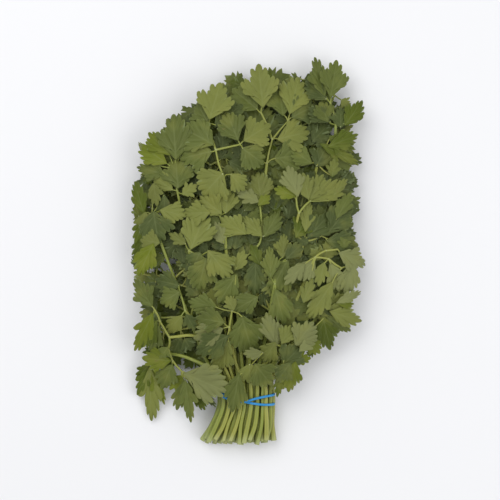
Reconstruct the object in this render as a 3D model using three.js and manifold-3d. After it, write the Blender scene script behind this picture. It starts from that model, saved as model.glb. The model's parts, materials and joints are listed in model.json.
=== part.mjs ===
// A cut bunch of flat-leaf parsley lying on its side, held by a doubled rubber band.
// Millimetres, +Z up. X runs across the bunch, Y from the cut ends to the leaf tips.
// The origin is under the middle of the bunch, on the surface that it lies on.
import * as THREE from "three";
import { mergeVertices } from "three/addons/utils/BufferGeometryUtils.js";
import Module from "manifold-3d";

const wasm = await Module();
wasm.setup();

// ---- Driving dimensions ----
// the leafy body; each pair of Y values is the stretch over which a height changes
const HALF_WIDTH = 89;
const CROWN = 46;
const TIP_DROP = 22;
const TIP_SLOPE = [70, 150];
const OPENING = [-112, -35];
const SIDE_FALL = 0.5;
const SIDE_ROUNDNESS = 2.2;

// the neck, the leaves that hang beside it, and the cut ends
const NECK_X = -2;
const NECK_Y = -110;
const NECK_TOP = 22.5;
const NECK_UNDER = 4.5;
const NECK_LANDING = [-100, -80];
const SIDE_DROOP = 0.75;
const DROOP_SPAN = [22, 75];
const CUT_END_X = -8;
const CUT_END_Y = -145.9;
const CUT_END_TOP = 18;
const CUT_END_SPREAD = 1.28;
const CUT_END_STAGGER = 2.5;
const CUT_END_SLOPE = [CUT_END_Y, -115];

// stems and leaves
const STEM_PITCH = 3.9;
const STEM_SIDES = 5;
const STEM_STATION = 15;
const STEM_STOP_PITCH = 40;
const LAST_STOP_CLEARANCE = 28;
const FAN_OUT = 30;
const CUT_RADIUS = 1.7;
const LEAF_END_RADIUS = 1.25;
const BLADE_THICKNESS = 1;
const BLADE_WIDENING = 1.12;
const BLADE_LENGTHENING = 1.05;
const BASE_DRAW = 0.4;
const STALK_WIDTH = 1.6;
const JOINT_GAP = 0.35;

// the rubber band, whose turns are squared rings that cross on top
const BAND_RADIUS = 0.85;
const BAND_HALF_WIDTH = 22.4;
const BAND_HALF_HEIGHT = 11;
const BAND_SQUARENESS = 4;
const BAND_STACK = 1.1;
const BAND_CROSSING = 0.267;
const BAND_STEPS = 96;

// ---- The space that the bunch fills, between an under surface and an upper one ----
const { lerp, smoothstep, degToRad } = THREE.MathUtils;

function underside(y) {
  return NECK_UNDER * (1 - smoothstep(y, ...NECK_LANDING)) * smoothstep(y, ...CUT_END_SLOPE);
}

function topside(x, y) {
  const open = smoothstep(y, ...OPENING);
  const crown = CROWN - TIP_DROP * smoothstep(y, ...TIP_SLOPE);
  const neck = lerp(CUT_END_TOP, NECK_TOP, smoothstep(y, ...CUT_END_SLOPE));
  const outwards = Math.min(1, Math.abs(x) / HALF_WIDTH);
  const shoulder = 1 - SIDE_FALL * outwards ** SIDE_ROUNDNESS * open;
  const droop = 1 - SIDE_DROOP * smoothstep(Math.abs(x), ...DROOP_SPAN) * (1 - open);
  return lerp(neck, crown, open) * shoulder * droop;
}

// level 0 is the under surface and level 1 the upper one
function layer(x, y, level) {
  return lerp(underside(y), topside(x, y), level);
}

// ---- Stem rows at the neck, from the lowest up ----
const ROWS = [
  { sites: 9, neck: 0.111, sheet: 0.1 },
  { sites: 10, neck: 0.306, sheet: 0.22 },
  { sites: 11, neck: 0.5, sheet: 0.54 },
  { sites: 10, neck: 0.694, sheet: 0.64 },
  { sites: 9, neck: 0.889, sheet: 0.74 },
];

// where the rows leave the neck for their places in the leafy body
const ROW_SPREADING = [-105, -50];

function siteX(row, site) {
  return NECK_X + (site - (ROWS[row].sites - 1) / 2) * STEM_PITCH;
}

function sheetLevel(row, y) {
  return lerp(ROWS[row].neck, ROWS[row].sheet, smoothstep(y, ...ROW_SPREADING));
}

// ---- Leaves ----
// A compound leaf grows from the end of its stem. rachis lists its branching points [x, y, parent],
// and each leaflet is [base x, base y, tip x, tip y, width] on a stalk from the nearest of them.
function spray(x, y, heading, size) {
  const at = (along, side) => {
    const a = degToRad(heading);
    return [
      x + size * (along * Math.cos(a) - side * Math.sin(a)),
      y + size * (along * Math.sin(a) + side * Math.cos(a)),
    ];
  };
  const leaflet = (along, side, toAlong, toSide, width) => [
    ...at(along, side),
    ...at(toAlong, toSide),
    width * size,
  ];
  return {
    rachis: [[x, y], [...at(0.3, 0), 0], [...at(0.56, 0), 1]],
    leaflets: [
      leaflet(0.66, 0, 1, 0.02, 0.28),
      leaflet(0.57, 0.09, 0.78, 0.37, 0.24),
      leaflet(0.57, -0.09, 0.8, -0.35, 0.24),
      leaflet(0.31, 0.12, 0.46, 0.45, 0.27),
      leaflet(0.31, -0.12, 0.43, -0.46, 0.27),
    ],
  };
}

const LEAVES = [
  {
    row: 4, site: 0, level: 0.8, lift: 0, via: [[-45, -80]],
    rachis: [[-66, -76], [-73, -84, 0]],
    leaflets: [
      [-75, -88, -76, -127, 15], [-76, -85, -85, -105, 10], [-71, -90, -64, -115, 11],
    ],
  },
  {
    row: 4, site: 1, level: 0.94, lift: 3, via: [[-38, -64]],
    rachis: [[-59, -64], [-60, -73, 0], [-57, -82, 1], [-50, -90, 2], [-66, -52, 0], [-70, -43, 4]],
    leaflets: [
      [-48, -92, -17, -104, 22], [-46, -98, -43, -127, 14], [-48, -97, -58, -108, 11],
      [-43, -99, -33, -118, 11], [-60, -82, -79, -81, 15], [-57, -86, -65, -103, 14],
      [-72, -40, -84, -21, 15], [-72, -47, -84, -73, 15],
    ],
  },
  {
    row: 4, site: 2, level: 0.88, lift: 0, via: [[-21, -72]],
    rachis: [[-47, -44], [-50, -33, 0]],
    leaflets: [
      [-51, -29, -64, -38, 14], [-50, -22, -69, -21, 15], [-50, -48, -59, -60, 10],
    ],
  },
  {
    row: 4, site: 3, level: 1, lift: 0, via: [],
    rachis: [[-14, -56], [-12, -44, 0]],
    leaflets: [
      [-19, -50, -38, -49, 18], [-21, -57, -40, -65, 17], [-18, -40, -44, -37, 15],
      [0, -48, 3, -74, 22], [-9, -41, -16, -28, 10], [-14, -66, -34, -76, 16], [-14, -70, -24, -90, 15],
    ],
  },
  {
    row: 4, site: 4, level: 1, lift: 5.5, via: [],
    rachis: [[0, -88]],
    leaflets: [[-7, -92, -8, -120, 15], [8, -82, 17, -99, 18], [2, -82, 1, -98, 15]],
  },
  {
    row: 4, site: 5, level: 1, lift: 0, via: [],
    rachis: [[50, -4], [58, -5, 0]],
    leaflets: [
      [48, -8, 37, -20, 12], [55, -9, 53, -25, 10], [62, -9, 68, -28, 11], [66, -3, 86.8, -13, 16],
    ],
  },
  {
    row: 4, site: 6, level: 1, lift: 2, via: [],
    rachis: [[26, -71], [38, -68, 0]],
    leaflets: [
      [24, -67, 32, -54, 13], [33, -68, 48, -52, 17], [44, -68, 62, -73, 15], [20, -68, 15, -50, 14],
      [26, -85, 38, -73, 14],
    ],
  },
  {
    row: 4, site: 7, level: 0.88, lift: 0, via: [[38, -64]],
    rachis: [[55, -46], [62, -42, 0]],
    leaflets: [
      [59, -48, 84, -53, 13], [58, -51, 72, -62, 11], [67, -39, 84, -29, 11], [54, -41, 47, -29, 13],
    ],
  },
  {
    row: 4, site: 8, level: 0.94, lift: 1.8, via: [],
    rachis: [[31, -90], [33, -84, 0]],
    leaflets: [[33, -87, 32, -105, 13], [36, -83, 47, -78, 12]],
  },
  {
    row: 3, site: 0, level: 0.94, lift: 0, via: [],
    rachis: [[-68, 14], [-72, 28, 0]],
    leaflets: [
      [-69, 9, -80, -9, 17], [-72, 16, -87, 9, 14], [-67, 22, -62, 6, 14], [-75, 32, -86, 50, 12],
      [-67, 30, -50, 27, 14],
    ],
  },
  {
    row: 3, site: 1, level: 1, lift: 0, via: [],
    rachis: [[-44, 1], [-35, -3, 0]],
    leaflets: [
      [-41, 4, -33, 27, 21], [-31, 0, -14, -8, 18], [-33, -8, -36, -28, 19], [-48, 3, -62, 4, 10],
    ],
  },
  {
    row: 3, site: 3, level: 0.94, lift: 0, via: [],
    rachis: [[-17, 11], [-21, 27, 0]],
    leaflets: [
      [-26, 30, -46, 30, 15], [-23, 32, -33, 44, 15], [-17, 32, -14, 47, 13], [-15, 15, -4, 26, 13],
    ],
  },
  {
    row: 3, site: 5, level: 0.88, lift: 0, via: [],
    rachis: [[6, 3], [10, 12, 0], [9, 34, 1]],
    leaflets: [
      [7, 14, -4, 26, 12], [14, 15, 22, 30, 12], [3, -1, -9, -14, 13], [9, 40, 8, 58, 17],
      [5, 37, -9, 44, 11],
    ],
  },
  {
    row: 3, site: 6, level: 0.94, lift: 0, via: [],
    rachis: [[20, -24], [22, -8, 0]],
    leaflets: [
      [26, -10, 36, -28, 15], [17, -5, 16, 6, 12], [26, -4, 33, 9, 13], [15, -28, 5, -42, 13],
      [24, -30, 25, -51, 15],
    ],
  },
  {
    row: 3, site: 8, level: 0.88, lift: 0, via: [],
    rachis: [[42, 8], [55, 12, 0]],
    leaflets: [[48, 14, 50, 34, 15], [60, 16, 70, 34, 17], [60, 8, 80, 6, 15], [44, 3, 55, -2, 11]],
  },
  {
    row: 2, site: 1, level: 0.88, lift: 0, via: [[-44, 0]],
    rachis: [[-53, 46], [-55, 63, 0]],
    leaflets: [
      [-53, 70, -55, 102, 21], [-60, 68, -80, 81, 16], [-50, 52, -37, 66, 17], [-58, 50, -79, 60, 14],
      [-49, 43, -37, 44, 10],
    ],
  },
  {
    row: 2, site: 3, level: 1, lift: 0, via: [],
    rachis: [[-18, 56], [-24, 76, 0], [-30, 96, 1], [-6, 80, 1]],
    leaflets: [
      [-10, 60, -3, 46, 14], [-4, 76, 11, 66, 18], [-28, 74, -50, 70, 18], [-22, 92, -5, 110, 18],
      [-30, 97, -38, 111, 18], [-2, 84, 16, 95, 20], [-26, 82, -49, 93, 20], [-28, 100, -21, 126, 22],
      [-18, 61, -31, 48, 18],
    ],
  },
  {
    row: 2, site: 5, level: 0.82, lift: 0, via: [],
    rachis: [[14, 66], [18, 84, 0], [10, 104, 1], [30, 98, 1]],
    leaflets: [
      [10, 68, -6, 72, 18], [22, 72, 43, 73, 18], [34, 102, 50, 110, 18], [6, 108, -11, 122, 20],
      [24, 84, 45, 90, 20], [24, 104, 23, 126, 18], [32, 106, 38, 131, 20], [12, 110, 8, 140, 22],
    ],
  },
  {
    row: 2, site: 7, level: 1, lift: 0, via: [],
    rachis: [[38, 31], [46, 37, 0]],
    leaflets: [
      [36, 38, 29, 58, 14], [43, 41, 42, 58, 11], [49, 41, 57, 56, 12], [52, 37, 72, 47, 13],
      [31, 38, 20, 46, 9],
    ],
  },
  {
    row: 2, site: 8, level: 0.88, lift: 0, via: [],
    rachis: [[52, 66], [58, 76, 0]],
    leaflets: [[62, 75, 83, 66, 13], [57, 80, 50, 97, 15], [63, 81, 80, 87, 15], [46, 66, 34, 72, 13]],
  },
  {
    row: 2, site: 9, level: 0.94, lift: 0, via: [[64, 52]],
    rachis: [[66, 96], [62, 112, 0]],
    leaflets: [
      [57, 117, 52, 145, 15], [64, 119, 69, 143, 17], [70, 98, 86, 113, 14], [61, 97, 47, 108, 13],
    ],
  },
  { row: 1, site: 2, level: 0, lift: 0, via: [], ...spray(-33, 24, 122, 66) },
  { row: 1, site: 4, level: 0, lift: 0, via: [], ...spray(3, 8, 91, 62) },
  { row: 1, site: 5, level: 0.06, lift: 0, via: [], ...spray(14, 62, 84, 68) },
  { row: 1, site: 7, level: 0, lift: 0, via: [], ...spray(42, 22, 62, 65) },
  { row: 0, site: 0, level: 0, lift: 0, via: [], ...spray(-36, -57, 186, 50) },
  { row: 0, site: 2, level: 0, lift: 0, via: [], ...spray(-40, -21, 150, 52) },
  { row: 0, site: 6, level: 0, lift: 0, via: [], ...spray(42, -21, 22, 49) },
  { row: 0, site: 8, level: 0, lift: 0, via: [], ...spray(33, -56, 356, 50) },
];

// ---- Solids ----
function toSolid(geometry) {
  geometry.deleteAttribute("normal");
  geometry.deleteAttribute("uv");
  const merged = mergeVertices(geometry, 1e-4);
  return new wasm.Manifold(
    new wasm.Mesh({
      numProp: 3,
      vertProperties: new Float32Array(merged.attributes.position.array),
      triVerts: new Uint32Array(merged.index.array),
    }),
  );
}

function toGeometry(solid) {
  const mesh = solid.getMesh();
  const geometry = new THREE.BufferGeometry();
  geometry.setAttribute("position", new THREE.BufferAttribute(mesh.vertProperties, 3));
  geometry.setIndex(new THREE.BufferAttribute(mesh.triVerts, 1));
  return geometry;
}

// one side of a three-lobed leaflet: [share of the width, share of the length]
const LOBES = [[0.45, 0.34], [0.5, 0.54], [0.26, 0.6], [0.2, 0.88]];

function flatPlate(outline) {
  return new THREE.ExtrudeGeometry(new THREE.Shape(outline), {
    depth: BLADE_THICKNESS,
    bevelEnabled: false,
    steps: 1,
  });
}

function bladeGeometry(base, tip, width) {
  const midrib = tip.clone().sub(base);
  const left = new THREE.Vector2(-midrib.y, midrib.x).normalize();
  const side = (sign) => LOBES.map(([across, along]) =>
    base.clone().addScaledVector(midrib, along).addScaledVector(left, sign * across * width));
  return flatPlate([base, ...side(-1), tip, ...side(1).reverse()]);
}

function stalkGeometry([fromX, fromY], [toX, toY]) {
  const from = new THREE.Vector2(fromX, fromY);
  const to = new THREE.Vector2(toX, toY);
  const ahead = to.clone().sub(from).normalize().multiplyScalar(STALK_WIDTH / 2);
  const left = new THREE.Vector2(-ahead.y, ahead.x);
  from.sub(ahead);
  to.add(ahead);
  return flatPlate([
    from.clone().sub(left), to.clone().sub(left), to.clone().add(left), from.clone().add(left),
  ]);
}

// lays a flat shape on its layer of the bunch
function drape(geometry, leaf) {
  const position = geometry.attributes.position;
  for (let i = 0; i < position.count; i++) {
    const ground = layer(position.getX(i), position.getY(i), leaf.level) + leaf.lift;
    position.setZ(i, Math.max(0, position.getZ(i) + ground));
  }
  return geometry;
}

function leafGeometry(leaf) {
  const nodes = leaf.rachis;
  const parts = nodes.slice(1).map((node) => stalkGeometry(nodes[node[2]], node));
  for (const [baseX, baseY, tipX, tipY, width] of leaf.leaflets) {
    const reach = ([x, y]) => Math.hypot(x - baseX, y - baseY);
    const node = nodes.reduce((best, other) => (reach(other) < reach(best) ? other : best));
    const base = new THREE.Vector2(baseX, baseY);
    const tip = new THREE.Vector2(tipX, tipY);
    const foot = new THREE.Vector2(node[0], node[1]);
    if (foot.distanceTo(base) < foot.distanceTo(tip)) base.lerp(foot, BASE_DRAW);
    tip.lerpVectors(base, tip.clone(), BLADE_LENGTHENING);
    parts.push(stalkGeometry(node, base.toArray()), bladeGeometry(base, tip, width * BLADE_WIDENING));
  }
  const solid = parts.map(toSolid).reduce((whole, part) => whole.add(part));
  return drape(toGeometry(solid), leaf);
}

// a bar that tapers from the cut end to the leaf, and whose axis follows a curve
function taperedTube(curve, steps) {
  const bar = new THREE.CylinderGeometry(1, 1, 1, STEM_SIDES, steps);
  const position = bar.attributes.position;
  const up = new THREE.Vector3(0, 0, 1);
  for (let i = 0; i < position.count; i++) {
    const share = position.getY(i) + 0.5;
    const centre = curve.getPointAt(share);
    const ahead = curve.getTangentAt(share);
    const across = new THREE.Vector3().crossVectors(ahead, up).normalize();
    const rise = new THREE.Vector3().crossVectors(across, ahead);
    const radius = lerp(CUT_RADIUS, LEAF_END_RADIUS, share);
    centre.addScaledVector(across, position.getX(i) * radius);
    centre.addScaledVector(rise, position.getZ(i) * radius);
    position.setXYZ(i, centre.x, centre.y, centre.z);
  }
  return bar;
}

// steps of this share of a turn never repeat, so neighbouring stems are cut at different lengths
const GOLDEN_SHARE = 0.618;

function stemGeometry(leaf, index) {
  const [endX, endY] = leaf.rachis[0];
  const neckX = siteX(leaf.row, leaf.site);
  const onSheet = (x, y) => new THREE.Vector3(x, y, layer(x, y, sheetLevel(leaf.row, y)));
  const cutX = CUT_END_X + (neckX - NECK_X) * CUT_END_SPREAD;
  const cutY = CUT_END_Y + CUT_END_STAGGER * ((index * GOLDEN_SHARE) % 1);
  const points = [
    new THREE.Vector3(cutX, cutY, layer(cutX, CUT_END_Y, ROWS[leaf.row].neck)),
    onSheet(neckX, NECK_Y - 6),
    onSheet(neckX, NECK_Y + 4),
  ];
  const stops = [...leaf.via];
  if (!stops.length && endY > NECK_Y + FAN_OUT) {
    stops.push([lerp(neckX, endX, FAN_OUT / (endY - NECK_Y)), NECK_Y + FAN_OUT]);
  }
  for (const [x, y] of stops) points.push(onSheet(x, y));
  const [lastX, lastY] = stops.length ? stops[stops.length - 1] : [neckX, NECK_Y + 4];
  const away = Math.hypot(endX - lastX, endY - lastY);
  for (let reach = STEM_STOP_PITCH; reach < away - LAST_STOP_CLEARANCE; reach += STEM_STOP_PITCH) {
    points.push(onSheet(lerp(lastX, endX, reach / away), lerp(lastY, endY, reach / away)));
  }
  const clear = LEAF_END_RADIUS + JOINT_GAP;
  const aside = leaf.row > 1 ? -clear : BLADE_THICKNESS + clear;
  points.push(new THREE.Vector3(endX, endY, layer(endX, endY, leaf.level) + leaf.lift + aside));
  const curve = new THREE.CatmullRomCurve3(points, false, "centripetal");
  return taperedTube(curve, Math.round(curve.getLength() / STEM_STATION));
}

// ---- Rubber band: one loop wound twice round the neck ----
// share of a turn from the right side over the top, and the place along the bunch: the loop starts
// and ends underneath, and its two turns cross once on top
const BAND_ROUTE = [
  [-0.25, -112.5], [-0.12, -114], [0, -114.8], [0.13, -115], [0.267, -112.6], [0.347, -109.3],
  [0.43, -105.8], [0.5, -104.8], [0.62, -106], [0.75, -108], [0.9, -108], [1, -107.6], [1.09, -108.4],
  [1.18, -110.4], [1.267, -112.8], [1.347, -111.3], [1.43, -107.9], [1.5, -106.9], [1.62, -109.5],
  [1.75, -112.5],
];

// a squared ring round the stems
class NeckRing extends THREE.Curve {
  getPoint(share, target = new THREE.Vector3()) {
    const angle = share * 2 * Math.PI;
    const squared = (value) => Math.sign(value) * Math.abs(value) ** (2 / BAND_SQUARENESS);
    const across = BAND_HALF_WIDTH * squared(Math.cos(angle));
    return target.set(across, 0, BAND_HALF_HEIGHT * squared(Math.sin(angle)));
  }
}

class BandCurve extends THREE.Curve {
  constructor() {
    super();
    this.ring = new NeckRing();
    this.ring.arcLengthDivisions = 1440;
    const shares = BAND_ROUTE.map(([share]) => share);
    this.route = new THREE.CubicInterpolant(shares, BAND_ROUTE.map(([, y]) => y), 1);
  }

  getPoint(share, target = new THREE.Vector3()) {
    const turn = lerp(BAND_ROUTE[0][0], BAND_ROUTE[BAND_ROUTE.length - 1][0], share);
    const round = THREE.MathUtils.euclideanModulo(turn, 1);
    const near = 1 - smoothstep(Math.abs(round - BAND_CROSSING), 0, 0.1);
    const rise = 1 + (turn > 0.75 ? 1 : -1) * near * BAND_STACK / BAND_HALF_HEIGHT;
    const place = this.ring.getPointAt(round);
    const [y] = this.route.evaluate(turn);
    return target.set(NECK_X + place.x, y, (NECK_UNDER + NECK_TOP) / 2 + place.z * rise);
  }
}

function bandGeometry() {
  const section = new THREE.Shape().absarc(0, 0, BAND_RADIUS, 0, 2 * Math.PI);
  return new THREE.ExtrudeGeometry(section, {
    extrudePath: new BandCurve(),
    steps: BAND_STEPS,
    curveSegments: 3,
    bevelEnabled: false,
  });
}

// ---- The bunch ----
const leafMaterial = new THREE.MeshStandardMaterial({ color: 0x6c7f42, roughness: 0.6, metalness: 0 });
const stemMaterial = new THREE.MeshStandardMaterial({ color: 0x8c9650, roughness: 0.5, metalness: 0 });
const bandMaterial = new THREE.MeshStandardMaterial({ color: 0x2a8fd0, roughness: 0.55, metalness: 0 });

const bunch = new THREE.Group();

function addMesh(name, geometry, material) {
  const mesh = new THREE.Mesh(geometry, material.clone());
  mesh.name = name;
  bunch.add(mesh);
}

LEAVES.forEach((leaf, index) => {
  const number = String(index + 1).padStart(2, "0");
  addMesh("stem_" + number, stemGeometry(leaf, index), stemMaterial);
  addMesh("leaf_" + number, leafGeometry(leaf), leafMaterial);
});
addMesh("rubber_band", bandGeometry(), bandMaterial);

export default bunch;
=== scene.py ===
"""A cut bunch of flat-leaf parsley lying on its side, held at the neck by a doubled rubber band.

X runs across the bunch, Y from the cut ends to the leaf tips and Z up. The tables give places in the
plan in millimetres, and a node tree lays them on the layers of the bunch.
"""

import json
import math
import random
from types import SimpleNamespace

import bpy
import numpy as np
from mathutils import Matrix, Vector

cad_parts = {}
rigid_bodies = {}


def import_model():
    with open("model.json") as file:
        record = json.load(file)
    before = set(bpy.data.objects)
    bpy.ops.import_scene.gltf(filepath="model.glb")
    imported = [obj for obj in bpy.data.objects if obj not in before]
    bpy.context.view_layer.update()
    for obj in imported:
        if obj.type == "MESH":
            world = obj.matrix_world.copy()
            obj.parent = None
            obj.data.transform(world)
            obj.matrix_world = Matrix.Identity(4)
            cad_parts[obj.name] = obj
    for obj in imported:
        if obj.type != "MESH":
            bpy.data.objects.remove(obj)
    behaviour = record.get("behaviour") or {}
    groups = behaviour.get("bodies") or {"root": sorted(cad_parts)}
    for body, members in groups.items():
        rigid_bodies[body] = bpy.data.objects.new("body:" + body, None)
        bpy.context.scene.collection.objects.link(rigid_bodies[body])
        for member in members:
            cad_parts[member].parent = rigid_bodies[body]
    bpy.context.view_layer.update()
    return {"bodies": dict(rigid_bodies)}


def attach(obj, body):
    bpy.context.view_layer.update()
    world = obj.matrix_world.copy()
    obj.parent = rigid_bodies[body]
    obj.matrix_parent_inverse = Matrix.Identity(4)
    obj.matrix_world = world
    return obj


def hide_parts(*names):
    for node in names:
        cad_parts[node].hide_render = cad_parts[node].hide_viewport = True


bl_info = {
    "name": "Parsley Bunch",
    "version": (1, 0, 0),
    "blender": (4, 5, 0),
    "location": "View3D > Sidebar > Parsley",
    "description": "Builds a tied bunch of flat-leaf parsley around its packed frame",
    "category": "Object",
}

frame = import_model()
# The whole bunch is one body
(BODY,) = frame["bodies"]

MM = 0.001
NECK_X = -2


# ---- Settings ----
def length_property(name, description, millimetres):
    return bpy.props.FloatProperty(
        name=name, description=description, default=millimetres * MM, unit="LENGTH", precision=5
    )


def colour_property(name, description, colour):
    return bpy.props.FloatVectorProperty(
        name=name, description=description, default=colour, subtype="COLOR", size=3, min=0, max=1
    )


class ParsleyForm(bpy.types.PropertyGroup):
    """The space that the bunch fills."""

    half_width: length_property("Half width", "From the middle to either side", 89)
    crown: length_property("Crown", "Height over the middle of the leaves", 46)
    tip_drop: length_property("Tip drop", "How much lower the leaf tips lie than the crown", 22)
    cut_top: length_property("Cut end height", "Height over the cut ends", 18)
    neck_under: length_property("Neck underside", "Height of the lowest stems at the neck", 4.5)
    neck_top: length_property("Neck height", "Height over the stems at the neck", 22.5)
    side_bend: length_property("Side bend", "Radius that leaves fold down round at the sides", 4.5)
    ripple: length_property("Ripple", "Height of the waves along a blade", 1.3)
    ripple_size: length_property("Ripple size", "Length of the waves along a blade", 15)


class ParsleyLeafLook(bpy.types.PropertyGroup):
    """Blade sizes and the leaf colours."""

    thickness: length_property("Blade thickness", "Thickness at the midrib", 0.45)
    light: colour_property("Light", "Young blade facing the light", (0.193, 0.215, 0.047))
    middle: colour_property("Middle", "Full-grown blade", (0.121, 0.148, 0.030))
    # The dark colour is partly painted shade: the deeper, bluer tone of blades lying in the shadow inside the
    # bunch
    dark: colour_property("Dark", "Old bluish blade", (0.078, 0.102, 0.026))
    yellow: colour_property("Yellow", "Blade lit from behind", (0.150, 0.184, 0.012))
    olive: colour_property("Olive", "Deep green blade lit from behind", (0.088, 0.118, 0.008))
    pale: colour_property("Pale", "Blade turned over to its underside", (0.222, 0.242, 0.085))


class ParsleyStemLook(bpy.types.PropertyGroup):
    """Stem and stalk sizes and colours."""

    cut_radius: length_property("Cut radius", "Stem radius at the cut end", 2.0)
    leaf_radius: length_property("Leaf end radius", "Stem radius where the leaf starts", 1.15)
    stalk_radius: length_property("Stalk radius", "Radius of a leaflet's stalk", 0.55)
    green: colour_property("Green", "Stem skin", (0.270, 0.320, 0.052))
    ripe: colour_property("Ripe", "Yellower stem skin", (0.400, 0.395, 0.080))
    pith: colour_property("Pith", "Cut face", (0.560, 0.600, 0.330))


class ParsleyBandLook(bpy.types.PropertyGroup):
    """The rubber band."""

    neck_x: length_property("Neck middle", "Sideways place of the neck", NECK_X)
    radius: length_property("Radius", "Half the thickness of the band", 0.9)
    half_width: length_property("Half width", "Half the width of its turns", 21.6)
    half_height: length_property("Half height", "Half the height of its turns", 10.4)
    stack: length_property("Stack", "How far either turn leaves the ring where they cross", 1.0)
    blue: colour_property("Blue", "Rubber colour", (0.014, 0.235, 0.540))


# ---- Numbers inside a node tree ----
def operator_pair(operation):
    """The two methods that let a Number stand before or after another value in an expression."""

    def before(number, other):
        return number.graph.number("ShaderNodeMath", {0: number, 1: other}, operation=operation)

    def after(number, other):
        return number.graph.number("ShaderNodeMath", {0: other, 1: number}, operation=operation)

    return before, after


class Number:
    """A number socket that adds Math nodes when it is used in an expression."""

    def __init__(self, graph, socket):
        self.graph = graph
        self.socket = socket

    def math(self, operation, *others, clamp=False):
        values = dict(enumerate((self, *others)))
        return self.graph.number("ShaderNodeMath", values, operation=operation, use_clamp=clamp)

    def __abs__(self):
        return self.math("ABSOLUTE")

    __add__, __radd__ = operator_pair("ADD")
    __sub__, __rsub__ = operator_pair("SUBTRACT")
    __mul__, __rmul__ = operator_pair("MULTIPLY")
    __truediv__, __rtruediv__ = operator_pair("DIVIDE")
    __pow__, __rpow__ = operator_pair("POWER")


class Graph:
    """A node tree and one way to add a node to it."""

    def __init__(self, tree):
        self.tree = tree

    def add(self, kind, values=None, **settings):
        """A node with its settings, and its inputs set to values or linked to numbers, sockets or nodes."""
        node = self.tree.nodes.new(kind)
        for name, setting in settings.items():
            setattr(node, name, setting)
        for name, value in (values or {}).items():
            socket = node.inputs[name]
            if isinstance(value, Number):
                value = value.socket
            if isinstance(value, bpy.types.Node):
                value = value.outputs[0]
            if isinstance(value, bpy.types.NodeSocket):
                self.tree.links.new(value, socket)
            else:
                socket.default_value = (*value, 1) if socket.type == "RGBA" else value
        return node

    def number(self, kind, values=None, **settings):
        return Number(self, self.add(kind, values, **settings).outputs[0])

    def mix(self, share, first, second, blend="MIX"):
        """A colour between two others."""
        values = {0: share, 6: first, 7: second}
        return self.add("ShaderNodeMix", values, data_type="RGBA", blend_type=blend).outputs[2]

    def split(self, vector):
        node = self.add("ShaderNodeSeparateXYZ", {0: vector})
        return [Number(self, output) for output in node.outputs]

    def join(self, x, y, z):
        return self.add("ShaderNodeCombineXYZ", {0: x, 1: y, 2: z})

    def field(self, name, kind="FLOAT"):
        """A named attribute in a geometry tree."""
        node = self.add("GeometryNodeInputNamedAttribute", {"Name": name}, data_type=kind)
        return Number(self, next(output for output in node.outputs if output.enabled))

    def mark(self, name):
        """A number that a mesh carries, in a material."""
        node = self.add("ShaderNodeAttribute", attribute_name=name)
        return Number(self, node.outputs["Fac"])

    def noise(self, place, scale, detail=3.0, rough=0.5):
        values = {"Vector": place, "Scale": scale, "Detail": detail, "Roughness": rough}
        return self.number("ShaderNodeTexNoise", values)


def clamped(value):
    if isinstance(value, Number):
        return value.math("ADD", 0.0, clamp=True)
    return np.clip(value, 0, 1)


def smooth(value, low, high):
    share = clamped((value - low) / (high - low))
    return share * share * (3 - share * 2)


def between(low, high, share):
    return low + (high - low) * share


def between_places(first, second, share):
    return tuple(between(*ends, share) for ends in zip(first, second))


# ---- The layers of the bunch, for plain numbers and for numbers in a tree ----
# Stretches along the bunch: from the cut ends to the neck, where the underside comes down to the floor,
# where the leaves open out, and where they thin out to their tips
GATHERING, LANDING, OPENING, TIPS = (-146, -115), (-100, -80), (-112, -35), (70, 150)
# Stretch to either side over which the upper surface droops at the neck, and how much lower it ends
DROOPING, SIDE_DROOP = (22, 75), 0.75
SIDE_FALL, SIDE_ROUNDNESS = 0.5, 2.2


def passed(place, stretch):
    """How far a place in a tree or in metres is along a stretch in millimetres."""
    return smooth(place, stretch[0] * MM, stretch[1] * MM)


def underside(form, y):
    return (1 - passed(y, LANDING)) * passed(y, GATHERING) * form.neck_under


def topside(form, x, y):
    opened = passed(y, OPENING)
    crown = form.crown - passed(y, TIPS) * form.tip_drop
    neck = between(form.cut_top, form.neck_top, passed(y, GATHERING))
    shoulder = 1 - clamped(abs(x) / form.half_width) ** SIDE_ROUNDNESS * opened * SIDE_FALL
    droop = 1 - passed(abs(x), DROOPING) * (1 - opened) * SIDE_DROOP
    return between(neck, crown, opened) * shoulder * droop


def layer(form, x, y, level):
    """Height in the plan's place (x, y): level 0 is the under surface and 1 the upper one."""
    return between(underside(form, y), topside(form, x, y), level)


# ---- Leaves ----
# Stem rows at the neck, from the lowest up: stems in the row, level at the neck, level in the leaves
ROWS = [(9, 0.111, 0.10), (10, 0.306, 0.22), (11, 0.5, 0.54), (10, 0.694, 0.64), (9, 0.889, 0.74)]
STEM_PITCH = 4.1
# Stretch along the bunch over which a row goes from the one level to the other
ROW_SPREADING = (-105, -50)
# How far a leaf's stalks run under its blades, unless its own entry says
STALK_SINK = 2.2


def leaf_at(row, site, level, rachis, leaflets=(), lift=0, via=(), sink=STALK_SINK):
    """A leaf that grows from the end of its stem, at a site of a row.

    The rachis lists its branching points (x, y, parent), and each leaflet is (base x, base y, tip x,
    tip y, width, colour) on a stalk from the nearest of them. The stem passes through the places in via.
    """
    blades = [(entry[:2], entry[2:4], *entry[4:]) for entry in leaflets]
    return dict(
        row=row, site=site, level=level, rachis=rachis, leaflets=blades, lift=lift, via=via, sink=sink
    )


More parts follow.
